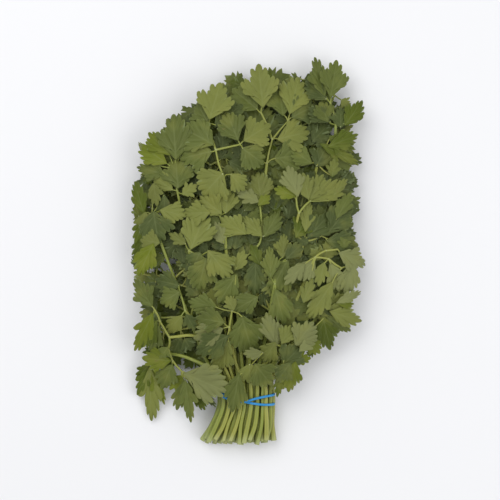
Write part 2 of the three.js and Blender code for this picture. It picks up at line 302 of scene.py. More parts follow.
LEAVES = [
    leaf_at(4, 0, 0.8, [(-66, -76), (-74, -84, 0)], [
        (-76, -86, -85, -97, 10, "olive"), (-77, -92, -84, -108, 11, "olive"),
        (-72, -92, -64, -115, 12, "yellow"), (-75, -88, -74, -127, 17, "light"),
    ], via=[(-45, -80)]),
    leaf_at(4, 1, 0.94, [
        (-59, -64), (-60, -73, 0), (-57, -82, 1), (-50, -90, 2), (-66, -52, 0), (-70, -43, 4),
    ], [
        (-49, -95, -59, -104, 10, "yellow"), (-36, -104, -25, -116, 8, "dark"),
        (-48, -98, -53, -107, 8, "yellow"), (-48, -102, -54, -119, 12, "middle"),
        (-42, -102, -33, -118, 12, "olive"), (-46, -99, -43, -127, 15, "middle"),
        (-57, -86, -65, -103, 17, "middle"), (-62, -76, -79, -76, 10, "olive"),
        (-58, -82, -79, -80, 17, "yellow"), (-66, -57, -74, -73, 14, "middle"),
        (-69, -50, -80, -71, 15, "olive"), (-71, -46, -85, -73, 15, "yellow"),
        (-72, -41, -85, -21, 16, "middle"), (-48, -92, -17, -104, 27, "pale"),
        (-60, -70, -66, -80, 10, "middle"),
    ], lift=3, via=[(-38, -64)], sink=0),
    leaf_at(4, 2, 0.88, [(-47, -44), (-50, -33, 0)], [
        (-51, -20, -69, -21, 17, "dark"), (-51, -27, -65, -38, 17, "middle"),
        (-51, -49, -60, -60, 12, "light"), (-46, -48, -40, -58, 12, "dark"),
    ], via=[(-21, -72)]),
    leaf_at(4, 3, 0.98, [(-14, -56), (-12, -44, 0)], [
        (-14, -72, -26, -91, 19, "light"), (-14, -66, -38, -76, 20, "dark"),
        (-8, -16, -22, -38, 18, "middle"), (-30, -39, -44, -37, 15, "middle"),
        (-21, -57, -40, -65, 17, "pale"), (-19, -50, -38, -49, 18, "middle"),
        (8, -33, -10, -43, 16, "middle"), (0, -48, 3, -76, 25, "middle"), (-9, -43, -16, -33, 10, "light"),
    ]),
    leaf_at(4, 4, 1.0, [(0, -88)], [
        (2, -80, 1, -98, 17, "light"), (8, -80, 17, -99, 20, "middle"), (12, -75, -3, -76, 9, "pale"),
        (-11, -92, -12, -119, 18, "middle"),
    ], lift=6),
    leaf_at(4, 5, 1.0, [(50, -4), (60, -5, 0), (58, 1, 0), (67, 2, 2), (70, -12, 1)], [
        (50, -6, 37, -20, 15, "pale"), (62, -9, 68, -29, 13, "pale"), (55, -9, 53, -25, 11, "light"),
        (38, -11, 28, -24, 11, "pale"), (60, -28, 46, -48, 16, "light"), (84, -4, 73, -31, 16, "pale"),
        (68, -2, 89, -10, 17, "pale"), (41, -38, 48, -20, 12, "light"),
    ], sink=0),
    leaf_at(4, 6, 1.0, [(26, -71), (38, -68, 0)], [
        (26, -85, 38, -72, 20, "dark"), (56, -48, 62, -73, 17, "olive"), (48, -64, 54, -76, 12, "yellow"),
        (18, -71, 14, -46, 16, "pale"), (33, -71, 48, -53, 20, "pale"), (24, -67, 32, -55, 13, "light"),
        (38, -79, 50, -66, 9, "pale"), (17, -64, 12, -82, 15, "light"),
    ], lift=2),
    leaf_at(4, 7, 0.88, [(55, -46), (62, -42, 0)], [
        (60, -38, 72, -32, 12, "light"), (58, -42, 75, -45, 13, "light"), (61, -50, 77, -59, 13, "middle"),
        (60, -46, 85, -52, 15, "light"), (70, -37, 79, -39, 7, "yellow"), (68, -36, 84, -30, 8, "pale"),
    ], via=[(38, -64)]),
    leaf_at(4, 8, 0.94, [(31, -90), (34, -83, 0)], [
        (20, -96, 22, -109, 8, "olive"), (30, -88, 25, -103, 10, "yellow"), (36, -77, 47, -80, 10, "yellow"),
        (37, -81, 31, -105, 15, "yellow"), (31, -82, 21, -98, 15, "dark"),
    ], lift=3),
    leaf_at(3, 0, 0.94, [(-68, 14), (-72, 28, 0)], [
        (-82, 12, -86, -5, 12, "olive"), (-82, 24, -85, 6, 12, "olive"), (-63, 44, -62, 20, 12, "dark"),
        (-82, 27, -85, 52, 12, "olive"), (-80, 32, -82, 15, 12, "light"), (-71, 52, -68, 35, 11, "light"),
        (-70, 33, -67, 7, 24, "dark"), (-62, 34, -47, 27, 17, "light"), (-64, 2, -80, 9, 17, "light"),
        (-72, 2, -82, -17, 17, "yellow"),
    ]),
    leaf_at(3, 1, 1.0, [(-44, 1), (-35, -3, 0)], [
        (-47, 9, -59, 14, 10, "light"), (-36, 2, -41, -11, 15, "dark"), (-42, 2, -32, 27, 24, "light"),
        (-28, -5, -37, -28, 21, "middle"), (-27, 5, -14, -18, 20, "light"),
    ]),
    leaf_at(3, 3, 0.94, [(-17, 11), (-21, 27, 0)], [
        (-18, 2, -25, 22, 11, "pale"), (-14, 29, -14, 46, 16, "light"), (-18, 29, -35, 41, 18, "light"),
        (-32, 31, -48, 29, 17, "light"), (-1, 13, -20, 25, 18, "light"),
    ]),
    leaf_at(3, 5, 0.88, [(6, 3), (10, 12, 0), (9, 34, 1)], [
        (6, -11, 5, -32, 16, "dark"), (-10, -14, -3, 1, 11, "light"), (9, -10, 2, 5, 10, "olive"),
        (12, 10, 14, 26, 10, "light"), (13, 10, 23, 30, 13, "middle"), (11, 11, -4, 26, 13, "light"),
        (10, 41, 7, 59, 20, "light"), (8, 39, -9, 46, 12, "pale"), (7, 35, 16, 42, 8, "yellow"),
    ]),
    leaf_at(3, 6, 0.94, [(20, -24), (22, -8, 0)], [
        (35, -3, 17, -29, 23, "middle"), (20, -29, 27, -53, 17, "middle"), (28, -3, 27, 13, 13, "light"),
        (15, -18, 16, 3, 13, "middle"), (32, -4, 40, 6, 12, "dark"),
    ]),
    leaf_at(3, 8, 0.88, [(42, 8), (55, 12, 0)], [
        (62, 14, 77, 36, 20, "dark"), (60, 6, 82, 5, 17, "dark"), (46, 12, 62, 29, 18, "dark"),
        (31, 12, 45, 28, 16, "olive"), (72, 2, 72, 13, 10, "middle"), (74, 33, 77, 44, 12, "middle"),
        (43, 19, 46, 37, 11, "light"),
    ]),
    leaf_at(2, 1, 0.88, [(-53, 46), (-55, 63, 0)], [
        (-44, 82, -43, 103, 12, "dark"), (-58, 46, -72, 58, 14, "light"), (-78, 66, -82, 82, 6, "pale"),
        (-66, 55, -83, 64, 15, "middle"), (-64, 68, -81, 81, 18, "yellow"), (-60, 78, -74, 89, 17, "yellow"),
        (-52, 48, -54, 69, 24, "middle"), (-47, 41, -38, 50, 12, "light"), (-53, 72, -56, 102, 24, "middle"),
    ], via=[(-44, 0)]),
    leaf_at(2, 3, 1.0, [(-18, 56), (-24, 76, 0), (-30, 96, 1), (-6, 80, 1)], [
        (-10, 60, -3, 46, 14, "light"), (-4, 76, 11, 66, 21, "middle"), (-28, 74, -50, 70, 23, "middle"),
        (-22, 92, -5, 110, 22, "dark"), (-30, 97, -38, 111, 19, "middle"), (-2, 84, 16, 95, 23, "light"),
        (-26, 82, -49, 93, 24, "middle"), (-8, 84, -15, 103, 20, "middle"), (-28, 100, -21, 126, 26, "light"),
        (-18, 61, -33, 43, 27, "light"),
    ]),
    leaf_at(2, 5, 0.88, [(14, 66), (18, 84, 0), (10, 104, 1), (30, 98, 1)], [
        (10, 68, -6, 72, 20, "dark"), (22, 72, 43, 73, 22, "middle"), (34, 102, 50, 110, 22, "dark"),
        (6, 108, -11, 122, 24, "middle"), (24, 84, 45, 90, 24, "light"), (24, 104, 23, 126, 22, "middle"),
        (32, 106, 38, 131, 24, "light"), (12, 110, 8, 140, 26, "light"),
    ]),
    leaf_at(2, 7, 1.0, [(38, 29), (46, 38, 0), (36, 39, 0), (27, 57, 2)], [
        (35, 42, 24, 52, 6, "olive"), (36, 43, 20, 47, 10, "yellow"), (69, 37, 74, 54, 10, "light"),
        (48, 39, 71, 51, 16, "light"), (46, 39, 56, 57, 15, "light"), (45, 39, 41, 58, 12, "light"),
        (38, 42, 30, 63, 17, "pale"),
    ], sink=0),
    leaf_at(2, 8, 0.88, [(52, 66), (58, 76, 0)], [
        (50, 62, 59, 79, 19, "dark"), (63, 56, 65, 70, 11, "middle"), (62, 93, 79, 78, 17, "olive"),
        (50, 85, 82, 66, 11, "olive"), (46, 66, 33, 76, 14, "middle"), (60, 80, 82, 88, 14, "olive"),
    ]),
    leaf_at(2, 9, 0.94, [(66, 96), (62, 112, 0)], [
        (60, 98, 46, 108, 15, "dark"), (72, 91, 70, 108, 16, "dark"), (56, 98, 55, 113, 16, "middle"),
        (77, 94, 86, 114, 15, "olive"), (58, 116, 44, 128, 15, "dark"), (55, 120, 51, 146, 17, "middle"),
        (62, 118, 67, 144, 20, "middle"),
    ], via=[(64, 52)]),
]
# Numbers of the upper leaves, in three stretches along the bunch and all together, and of the under ones
NEAR, MIDDLE, FAR = range(0, 9), range(9, 15), range(15, 21)
UPPER_NUMBERS, UNDER_NUMBERS = range(0, 21), range(21, 29)
# How much fuller the blades are than their widths in the table, and how far their bases are drawn in
BLADE_WIDENING, BLADE_LENGTHENING, BASE_DRAW = 1.16, 1.05, 0.40

# Leaves on the under side: row, site, level, base x, base y, heading in degrees, size
UNDER_LEAVES = [
    (1, 2, 0.0, -33, 24, 122, 66), (1, 4, 0.0, 3, 8, 91, 62), (1, 5, 0.06, 14, 62, 84, 68),
    (1, 7, 0.0, 42, 22, 62, 66), (0, 0, 0.0, -36, -57, 186, 50), (0, 2, 0.0, -40, -21, 150, 52),
    (0, 6, 0.0, 42, -21, 22, 50), (0, 8, 0.0, 33, -56, 356, 50),
]
# The stalks of leaves below this level lie over their blades
UNDERMOST = 0.1
# Blades above this level bend down at the sides of the bunch, and those below it bend up
HALF_WAY = 0.45

# The bunch's outline in the plan: y, left side, right side
OUTLINE = (
    (-112, -40, 26), (-100, -70, 34), (-85, -82, 46), (-60, -82, 72), (-30, -85, 80), (0, -87, 84),
    (40, -87, 85), (64, -84, 85), (80, -80, 85), (91, -72, 85), (101, -63, 84), (108, -44, 80),
    (120, -38, 74), (138, -14, 68),
)
# Places where the inner leaves part and show what is under them: middle, half width, half height
CLEARINGS = (
    (-56, -50, 14, 17), (-58, -17, 12, 13), (4, -30, 7, 9), (9, -43, 7, 9), (-58, 45, 9, 7),
    (44, 36, 6, 5), (60, -20, 8, 8),
)
# Sprays that fill the edges of the bunch: number of the leaf that carries it, x, y, heading, size
EDGE_SPRAYS = (
    (9, -72, 40, 115, 32), (9, -74, 22, 170, 30), (9, -74, 2, 195, 30), (2, -66, -12, 170, 34),
    (2, -68, -36, 200, 30), (1, -70, -56, 190, 30), (15, -66, 58, 150, 32), (15, -62, 72, 125, 30),
    (15, -52, 80, 100, 30), (16, -22, 98, 92, 36), (17, 6, 112, 100, 42), (17, 28, 112, 60, 40),
    (20, 52, 106, 110, 40), (20, 62, 108, 70, 38), (20, 64, 96, 20, 36), (19, 58, 88, 120, 36),
    (19, 66, 80, 30, 34), (19, 66, 64, 350, 34), (18, 66, 44, 10, 34), (14, 68, 20, 15, 34),
    (14, 68, 0, 340, 32), (7, 68, -22, 20, 30), (7, 60, -52, 320, 30), (6, 46, -68, 330, 28),
)
EDGE_LEVELS = (0.42, 0.68)
# A regular spray, in shares of its size: the branching points along it, its end leaflet and the pairs
# beside it, each (base along, base aside, tip along, tip aside, width), and how far a tip may stray
SPRAY_FORKS = (0.3, 0.56)
SPRAY_END = (0.62, 0, 1, 0, 0.36)
SPRAY_PAIRS = ((0.57, 0.08, 0.80, 0.36, 0.31), (0.30, 0.10, 0.50, 0.42, 0.33), (0.26, 0.14, 0.16, 0.36, 0.24))
SPRAY_STRAY = 0.05
# How much wider than that its leaflets can grow, and the place along one that has to be clear of clearings
SPRAY_FULLNESS, SPRAY_MIDDLE = (1.0, 1.3), 0.6
# Where leaves start that have no entry in the tables: stretch along the bunch and the levels between
# them, how far they spread to either side, and how much less they do below a place near the neck
INNER_STRETCH, INNER_LEVELS = (-66, 112), (0.22, 0.76)
INNER_SPREAD, NECK_SPREAD, NARROW_BELOW = 54, 38, -20
# Their sprays, as (turned from the heading, share of the size)
INNER_SPRAYS = ((0, 1.0), (62, 0.85), (-62, 0.85), (150, 0.6))
# How inner leaves stray sideways, how far they turn away from the middle and how far they stray from that
INNER_STRAY, INNER_TURN, INNER_SWING, INNER_SIZES = 10, (20, 50), 20, (54, 70)
# Steps that never repeat, which scatter the inner leaves evenly
GOLDEN_STEP, SILVER_STEP = 0.618, 0.414
# Side leaves: how far up a stem they branch, from where, and up to which level
SIDE_FORKS, SIDE_FROM, SIDE_MOST_LEVEL, LEAST_SIDE_END = (0.62, 0.84), -75, 0.75, -55
SIDE_SWING, SIDE_SIZES, SIDE_RISE = (45, 75), (38, 50), 0.10
# Colours that regular sprays choose from; inner and side sprays lean to the dark colour, which is partly
# painted shade
UNDER_COLOURS = ("middle", "pale", "dark", "light", "pale")
INNER_COLOURS = ("middle", "dark", "dark", "middle", "olive")
EDGE_COLOURS = ("middle", "dark", "light", "olive")
SIDE_COLOURS = ("middle", "dark", "dark", "light")


def distance(first, second):
    return math.hypot(first[0] - second[0], first[1] - second[1])


def stray(rng, reach):
    return rng.uniform(-reach, reach)


def fuller(leaf):
    """The leaf with wider blades, which start nearer to the branching points that carry them."""
    blades = []
    for base, tip, width, colour in leaf["leaflets"]:
        fork = min(leaf["rachis"], key=lambda place: distance(place, base))
        if distance(fork, base) < distance(fork, tip):
            base = between_places(base, fork, BASE_DRAW)
        tip = between_places(base, tip, BLADE_LENGTHENING)
        blades.append((base, tip, width * BLADE_WIDENING, colour))
    return {**leaf, "leaflets": blades}


def node_names(kind, numbers):
    return [f"{kind}_{number + 1:02d}" for number in numbers]


def site_x(row, site):
    return NECK_X + (site - (ROWS[row][0] - 1) / 2) * STEM_PITCH


def sheet_level(row, y):
    return between(ROWS[row][1], ROWS[row][2], smooth(y, *ROW_SPREADING))


def inside(x, y):
    ys, lefts, rights = zip(*OUTLINE)
    return ys[0] < y < ys[-1] and np.interp(y, ys, lefts) < x < np.interp(y, ys, rights)


def in_clearing(x, y):
    return any(math.hypot((x - cx) / wide, (y - cy) / high) < 1 for cx, cy, wide, high in CLEARINGS)


def add_spray(leaf, start, heading, size, colours, rng):
    """Grows a regular spray from a branching point: an end leaflet, and pairs on the way to it."""
    x, y = leaf["rachis"][start][:2]
    angle = math.radians(heading)

    def at(ahead, aside):
        return (
            x + size * (ahead * math.cos(angle) - aside * math.sin(angle)),
            y + size * (ahead * math.sin(angle) + aside * math.cos(angle)),
        )

    parent = start
    for ahead in SPRAY_FORKS:
        leaf["rachis"].append((*at(ahead, 0), parent))
        parent = len(leaf["rachis"]) - 1
    colour = rng.choice(colours)
    low, low_aside, high, high_aside, width = SPRAY_END
    blades = [((low, low_aside), (high, high_aside + stray(rng, SPRAY_STRAY)), width)]
    for side in (1, -1):
        swing = stray(rng, SPRAY_STRAY)
        for low, low_aside, high, high_aside, width in SPRAY_PAIRS:
            blades.append(((low, low_aside * side), (high + swing, high_aside * side), width))
    for base, tip, width in blades:
        span = width * size * rng.uniform(*SPRAY_FULLNESS)
        middle = at(*between_places(base, tip, SPRAY_MIDDLE))
        hidden = leaf["level"] > HALF_WAY and in_clearing(*middle)
        if inside(*at(*tip)) and inside(*at(*base)) and not hidden:
            leaf["leaflets"].append((at(*base), at(*tip), span, colour))


def upper_leaves():
    return [fuller(leaf) for leaf in LEAVES]


def under_leaves():
    rng = random.Random(11)
    leaves = []
    for row, site, level, x, y, heading, size in UNDER_LEAVES:
        leaf = leaf_at(row, site, level, [(x, y)])
        add_spray(leaf, 0, heading, size, UNDER_COLOURS, rng)
        leaves.append(leaf)
    return leaves


def inner_leaves():
    """Full leaves inside the bunch, each of four sprays, from the stems that aren't in the tables."""
    rng = random.Random(29)
    used = {(leaf["row"], leaf["site"]) for leaf in LEAVES} | {entry[:2] for entry in UNDER_LEAVES}
    sites = [(row, site) for row in range(5) for site in range(ROWS[row][0]) if (row, site) not in used]
    leaves = []
    for order, (row, site) in enumerate(sites):
        share = (site + 0.5) / ROWS[row][0] * 2 - 1
        y = between(*INNER_STRETCH, (order * GOLDEN_STEP) % 1)
        x = share * (INNER_SPREAD if y > NARROW_BELOW else NECK_SPREAD) + stray(rng, INNER_STRAY)
        heading = 90 - share * rng.uniform(*INNER_TURN) + stray(rng, INNER_SWING)
        leaf = leaf_at(row, site, between(*INNER_LEVELS, (order * SILVER_STEP) % 1), [(x, y)])
        size = rng.uniform(*INNER_SIZES)
        for swing, part in INNER_SPRAYS:
            add_spray(leaf, 0, heading + swing, size * part, INNER_COLOURS, rng)
        leaves.append(leaf)
    return leaves


def edge_sprays():
    """Sprays out to the edges of the bunch, each on a stalk from the start of a leaf."""
    rng = random.Random(71)
    leaves = []
    for number, x, y, heading, size in EDGE_SPRAYS:
        leaf = LEAVES[number]
        rachis = [leaf["rachis"][0], (x, y, 0)]
        spray = leaf_at(leaf["row"], leaf["site"], rng.uniform(*EDGE_LEVELS), rachis)
        add_spray(spray, 1, heading, size, EDGE_COLOURS, rng)
        leaves.append(spray)
    return leaves


def side_leaves():
    """The lower sprays of the leaves, which branch from their stems in pairs."""
    rng = random.Random(61)
    leaves = edge_sprays()
    for leaf in LEAVES + inner_leaves():
        row, site, (end_x, end_y) = leaf["row"], leaf["site"], leaf["rachis"][0][:2]
        if end_y < LEAST_SIDE_END:
            continue
        foot_x = between(site_x(row, site), end_x, 0.3)
        heading = math.degrees(math.atan2(end_y - SIDE_FROM, end_x - foot_x))
        for share in SIDE_FORKS:
            x, y = between_places((foot_x, SIDE_FROM), (end_x, end_y), share)
            level = min(SIDE_MOST_LEVEL, sheet_level(row, y) + rng.uniform(0.0, SIDE_RISE))
            spray = leaf_at(row, site, level, [(x, y)])
            for side in (1, -1):
                swing = side * rng.uniform(*SIDE_SWING)
                add_spray(spray, 0, heading + swing, rng.uniform(*SIDE_SIZES), SIDE_COLOURS, rng)
            leaves.append(spray)
    return leaves


# ---- A leaflet ----
# Right-hand margins, as (out, up) for each tooth tip and the nick after it: up to the tip of the side
# lobe, back into the deep notch, and round the end lobe to its tip.
LARGE_FAN = dict(
    outer=[(0.57, 0.34), (0.58, 0.40), (0.90, 0.49), (0.82, 0.56), (1.00, 0.71)],
    back=[(0.81, 0.69), (0.74, 0.82), (0.34, 0.53)],
    upper=[(0.54, 0.80), (0.37, 0.77), (0.38, 0.94), (0.18, 0.88), (0.00, 1.00)],
)
LARGE_OVATE = dict(
    outer=[(0.62, 0.25), (0.63, 0.31), (0.95, 0.39), (0.87, 0.47), (1.00, 0.60)],
    back=[(0.84, 0.60), (0.83, 0.74), (0.47, 0.58)],
    upper=[(0.66, 0.83), (0.46, 0.79), (0.40, 0.96), (0.19, 0.89), (0.00, 1.00)],
)
LARGE_LOBED = dict(
    outer=[(0.52, 0.27), (0.54, 0.33), (0.89, 0.40), (0.83, 0.47), (1.00, 0.59)],
    back=[(0.80, 0.60), (0.71, 0.71), (0.27, 0.44)],
    upper=[(0.50, 0.69), (0.38, 0.71), (0.43, 0.88), (0.21, 0.85), (0.00, 1.00)],
)
FAN = dict(
    outer=[(0.65, 0.37), (0.63, 0.45), (1.00, 0.62)],
    back=[(0.79, 0.63), (0.77, 0.79), (0.36, 0.56)],
    upper=[(0.50, 0.87), (0.27, 0.82), (0.00, 1.00)],
)
OVATE = dict(
    outer=[(0.73, 0.29), (0.71, 0.38), (1.00, 0.53)],
    back=[(0.83, 0.57), (0.84, 0.72), (0.48, 0.60)],
    upper=[(0.61, 0.86), (0.34, 0.81), (0.00, 1.00)],
)
LOBED = dict(
    outer=[(0.58, 0.27), (0.58, 0.35), (1.00, 0.50)],
    back=[(0.77, 0.54), (0.72, 0.67), (0.27, 0.46)],
    upper=[(0.52, 0.71), (0.34, 0.74), (0.34, 0.90), (0.16, 0.87), (0.00, 1.00)],
)
SMALL_FAN = dict(
    outer=[(0.62, 0.33), (0.64, 0.41), (1.00, 0.64)], back=[(0.46, 0.62)],
    upper=[(0.56, 0.87), (0.28, 0.83), (0.00, 1.00)],
)
SMALL_OVATE = dict(
    outer=[(0.69, 0.24), (0.71, 0.33), (1.00, 0.55)], back=[(0.58, 0.62)],
    upper=[(0.62, 0.85), (0.34, 0.82), (0.00, 1.00)],
)
SMALL_LOBED = dict(
    outer=[(0.56, 0.22), (0.58, 0.30), (1.00, 0.52)], back=[(0.38, 0.49)],
    upper=[(0.54, 0.75), (0.33, 0.77), (0.00, 1.00)],
)
TRIDENT = dict(
    outer=[(0.53, 0.26), (0.55, 0.33), (1.00, 0.54)], back=[(0.34, 0.48)],
    upper=[(0.46, 0.70), (0.31, 0.72), (0.36, 0.87), (0.18, 0.86), (0.00, 1.00)],
)
WEDGE = dict(
    outer=[(0.58, 0.26), (0.60, 0.34), (1.00, 0.56)], back=[(0.56, 0.58)],
    upper=[(0.70, 0.78), (0.46, 0.76), (0.42, 0.93), (0.20, 0.88), (0.00, 1.00)],
)
# Margins on the right and on the left of each kind of leaflet, from the largest to the slender ones
KINDS = (
    (LARGE_OVATE, LARGE_LOBED), (LARGE_FAN, LARGE_OVATE), (LARGE_LOBED, LARGE_LOBED),
    (LARGE_LOBED, LARGE_FAN), (OVATE, LOBED), (FAN, OVATE), (LOBED, LOBED), (LOBED, FAN),
    (SMALL_FAN, SMALL_OVATE), (SMALL_LOBED, SMALL_LOBED), (SMALL_OVATE, SMALL_LOBED),
    (TRIDENT, TRIDENT), (WEDGE, WEDGE), (TRIDENT, WEDGE),
)
LARGE, MEDIUM, SMALL, SLENDER = range(0, 4), range(4, 8), range(8, 11), range(11, 14)
LARGE_WIDTH, SMALL_WIDTH, SLENDER_SHARE = 23, 15, 0.56
# Steps along the margin, for leaflets that show and for those inside the bunch
FINE = dict(outer=16, back=9, upper=15)
COARSE = dict(outer=6, back=3, upper=5)
# How far out the rows of corners lie between the skeleton and the margin
FINE_ROWS, COARSE_ROWS = (0, 0.3, 0.68, 1), (0, 1)
# The first nick of each stretch and the middle of its lobe, and how far the nicks are drawn in towards it
LOBE_MIDDLES = dict(outer=(1, (0.45, 0.50)), back=(0, (0.40, 0.55)), upper=(1, (0.10, 0.70)))
DEEPER_NICKS = 0.10
# How far each corner moves: shares of its way out, and up or down the blade
LOBE_SHARES, LOBE_STRAY = (0.93, 1.05), 0.015
# Where the side veins leave the midrib, how a blade folds along it, arches and twists, and its margin's nod
CURL = dict(fork=(0.12, 0.17), fold=(0.0, 0.22), arch=(0.03, 0.20), twist=(-0.14, 0.14), nod=(0.02, 0.06))
# How far the margin bows out between a tip and a nick: a share of the way between them, and the most
EDGE_BOW, MOST_BOW = 0.50, 0.10
# How far the skeleton reaches out to the tip of the side lobe and up the blade
SIDE_VEIN_REACH, MIDRIB_REACH = 0.8, 0.93
# Depth of the groove along the midrib, and height of the pucker between the veins
GROOVE, PUCKER = 0.016, 0.007
# What the underside adds to the tooth phase
UNDER_PHASE = 10
USUAL_LENGTH = 26 * MM


def kind_for(width, length, fine, rng):
    """A kind of leaflet that suits a blade of this size."""
    if width / length < SLENDER_SHARE:
        return rng.choice(SLENDER)
    if width < SMALL_WIDTH:
        return rng.choice(SMALL)
    return rng.choice(LARGE if fine and width > LARGE_WIDTH else MEDIUM)


def bowed(start, end, share):
    """A point on the edge between a tip and a nick, which bows outwards unless it leaves the base."""
    ahead = end - start
    bow = min(EDGE_BOW, MOST_BOW / np.hypot(*ahead)) if start.any() else 0
    control = between(start, end, 0.5) + np.array((ahead[1], -ahead[0])) * bow
    return between(between(start, control, share), between(control, end, share), share)


def margin_points(start, corners, steps):
    """Points along bowed edges through the corners, each with its tooth phase: nicks are whole."""
    points = []
    each, spare = divmod(steps, len(corners))
    for order, corner in enumerate(corners):
        count = each if order else each + spare
        for step in range(1, count + 1):
            share = step / count
            points.append((bowed(start, corner, share), (order + share) / 2))
        start = corner
    return points


def half_leaflet(margin, fork, steps):
    """Columns of one half of a leaflet, each (skeleton point, margin point, tooth phase, fullness).

    The skeleton runs up the midrib, out along the side vein and back, and up to the tip, while the
    margin runs past the side lobe, through the notch behind it and round the end lobe.
    """
    base = np.zeros(2)
    outer = margin_points(base, margin["outer"], steps["outer"])
    back = margin_points(margin["outer"][-1], margin["back"], steps["back"])
    upper = margin_points(margin["back"][-1], margin["upper"], steps["upper"])
    trunk = len(outer) - len(back)
    side_vein = between(fork, margin["outer"][-1], SIDE_VEIN_REACH)
    vein = [between(fork, side_vein, (i + 1) / len(back)) for i in range(len(back))]
    skeleton = [fork * (i + 1) / trunk for i in range(trunk)] + vein
    skeleton += vein[-2::-1] + [fork]
    midrib_end = np.array((0, MIDRIB_REACH))
    skeleton += [between(fork, midrib_end, (i + 1) / len(upper)) for i in range(len(upper))]
    phased = outer + [(point, phase + 0.5) for point, phase in back] + upper
    columns = [(base, base, 0.0, 0.0)]
    for order, (inner, (point, phase)) in enumerate(zip(skeleton, phased)):
        columns.append((inner, point, phase, min(1, (order + 1) / trunk)))
    return columns


def leaflet_mesh(name, shape, fine):
    """A closed leaflet one unit long and two half widths wide, with its base at the origin."""
    rings = FINE_ROWS if fine else COARSE_ROWS
    steps = FINE if fine else COARSE
    thickness = bpy.context.scene.parsley_leaf.thickness / USUAL_LENGTH
    places = {}
    points, faces, veins = [], [], []

    def corner(column, ring, sign, under):
        """The number of a corner's point, and its place between the veins."""
        skeleton, margin, phase, fullness = column
        x, y = between(skeleton, margin, ring)
        x *= sign
        pucker = math.sin(math.pi * phase) ** 2 * ring * (1 - 0.6 * ring)
        height = (
            shape["fold"] * abs(x) * 0.5
            - shape["arch"] * (y - 0.3) ** 2
            + shape["twist"] * x * (y - 0.4)
            - GROOVE * (1 - ring) ** 2
            + PUCKER * pucker
            - shape["nod"] * ring**3 * (0.4 + y)
            - under * thickness * fullness * (1 - ring**2)
        )
        point = (round(x, 5), round(y, 5), round(height, 5))
        if point not in places:
            places[point] = len(points)
            points.append(point)
        return places[point], (phase + UNDER_PHASE * under, ring)

    for sign in (1, -1):
        half = half_leaflet(shape[sign], np.array((0, shape["fork"])), steps)
        for left, right in zip(half, half[1:]):
            for low, high in zip(rings, rings[1:]):
                for under in (False, True):
                    ring_corners = [
                        corner(left, low, sign, under), corner(left, high, sign, under),
                        corner(right, high, sign, under), corner(right, low, sign, under),
                    ]
                    if (sign == 1) == under:
                        ring_corners.reverse()
                    kept = [c for i, c in enumerate(ring_corners) if c[0] != ring_corners[i - 1][0]]
                    if len({c[0] for c in kept}) > 2:
                        faces.append([c[0] for c in kept])
                        veins.extend(c[1] for c in kept)
    mesh = bpy.data.meshes.new(name)
    mesh.from_pydata(points, [], faces)
    mesh.uv_layers.new(name="veins").data.foreach_set("uv", np.array(veins, "f").ravel())
    mesh.shade_smooth()
    mark_margin(mesh, veins)
    return mesh


def mark_margin(mesh, veins):
    """Marks the edges along the margin as sharp, so each side keeps its own shading."""
    on_margin = {mesh.loops[loop].vertex_index for loop, (_, ring) in enumerate(veins) if ring == 1}
    sharp = [edge.vertices[0] in on_margin and edge.vertices[1] in on_margin for edge in mesh.edges]
    mesh.attributes.new("sharp_edge", "BOOLEAN", "EDGE").data.foreach_set("value", sharp)


def leaflet_shapes():
    """Each kind of leaflet with a little of its own: lobes out of place, and its own curl."""
    rng = random.Random(5)

    def moved(margin):
        halves = {
            stretch: [
                np.array((out * rng.uniform(*LOBE_SHARES), up + stray(rng, LOBE_STRAY) * (up < 1)))
                for out, up in corners
            ]
            for stretch, corners in margin.items()
        }
        for stretch, (first, middle) in LOBE_MIDDLES.items():
            for nick in halves[stretch][first::2]:
                nick += (np.array(middle) - nick) * DEEPER_NICKS
        return halves

    return [
        {
            **{measure: rng.uniform(*ends) for measure, ends in CURL.items()},
            1: moved(right),
            -1: moved(left),
        }
        for right, left in KINDS
    ]


# ---- Tools shared by the pieces ----
FORM_SIZES = tuple(ParsleyForm.__annotations__)


def tree_with(name, **inputs):
    """A geometry tree with inputs for a geometry, its material, what else is named and the form's sizes."""
    tree = bpy.data.node_groups.new(name, "GeometryNodeTree")
    tree.interface.new_socket("Geometry", in_out="OUTPUT", socket_type="NodeSocketGeometry")
    kinds = {"Geometry": "Geometry", "Material": "Material", **inputs, **dict.fromkeys(FORM_SIZES, "Float")}
    for socket_name, kind in kinds.items():
        tree.interface.new_socket(socket_name, in_out="INPUT", socket_type="NodeSocket" + kind)
    graph = Graph(tree)
    entry = graph.add("NodeGroupInput")
    form = SimpleNamespace(**{size: Number(graph, entry.outputs[size]) for size in FORM_SIZES})
    return graph, entry, form


def finished(graph, entry, geometry):
    real = graph.add("GeometryNodeRealizeInstances", {0: geometry})
    coated = graph.add("GeometryNodeSetMaterial", {"Geometry": real, "Material": entry.outputs["Material"]})
    graph.add("NodeGroupOutput", {0: coated})
    return graph.tree


def baked(source, tree, values, name):
    """The mesh that a node tree makes of source, as a plain object of its own."""
    form = bpy.context.scene.parsley_form
    values = {**values, **{size: getattr(form, size) for size in FORM_SIZES}}
    modifier = source.modifiers.new("nodes", "NODES")
    modifier.node_group = tree
    for item in tree.interface.items_tree:
        if item.in_out == "INPUT" and item.name in values:
            modifier[item.identifier] = values[item.name]
    bpy.context.view_layer.update()
    evaluated = source.evaluated_get(bpy.context.evaluated_depsgraph_get())
    mesh = bpy.data.meshes.new_from_object(evaluated)
    mesh.name = name
    bpy.data.objects.remove(source)
    if not mesh.polygons:
        raise RuntimeError(f"{name} came out empty")
    piece = bpy.data.objects.new(name, mesh)
    bpy.context.scene.collection.objects.link(piece)
    return piece


def declare(piece, replaced):
    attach(piece, BODY)
    if replaced:
        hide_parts(*replaced)


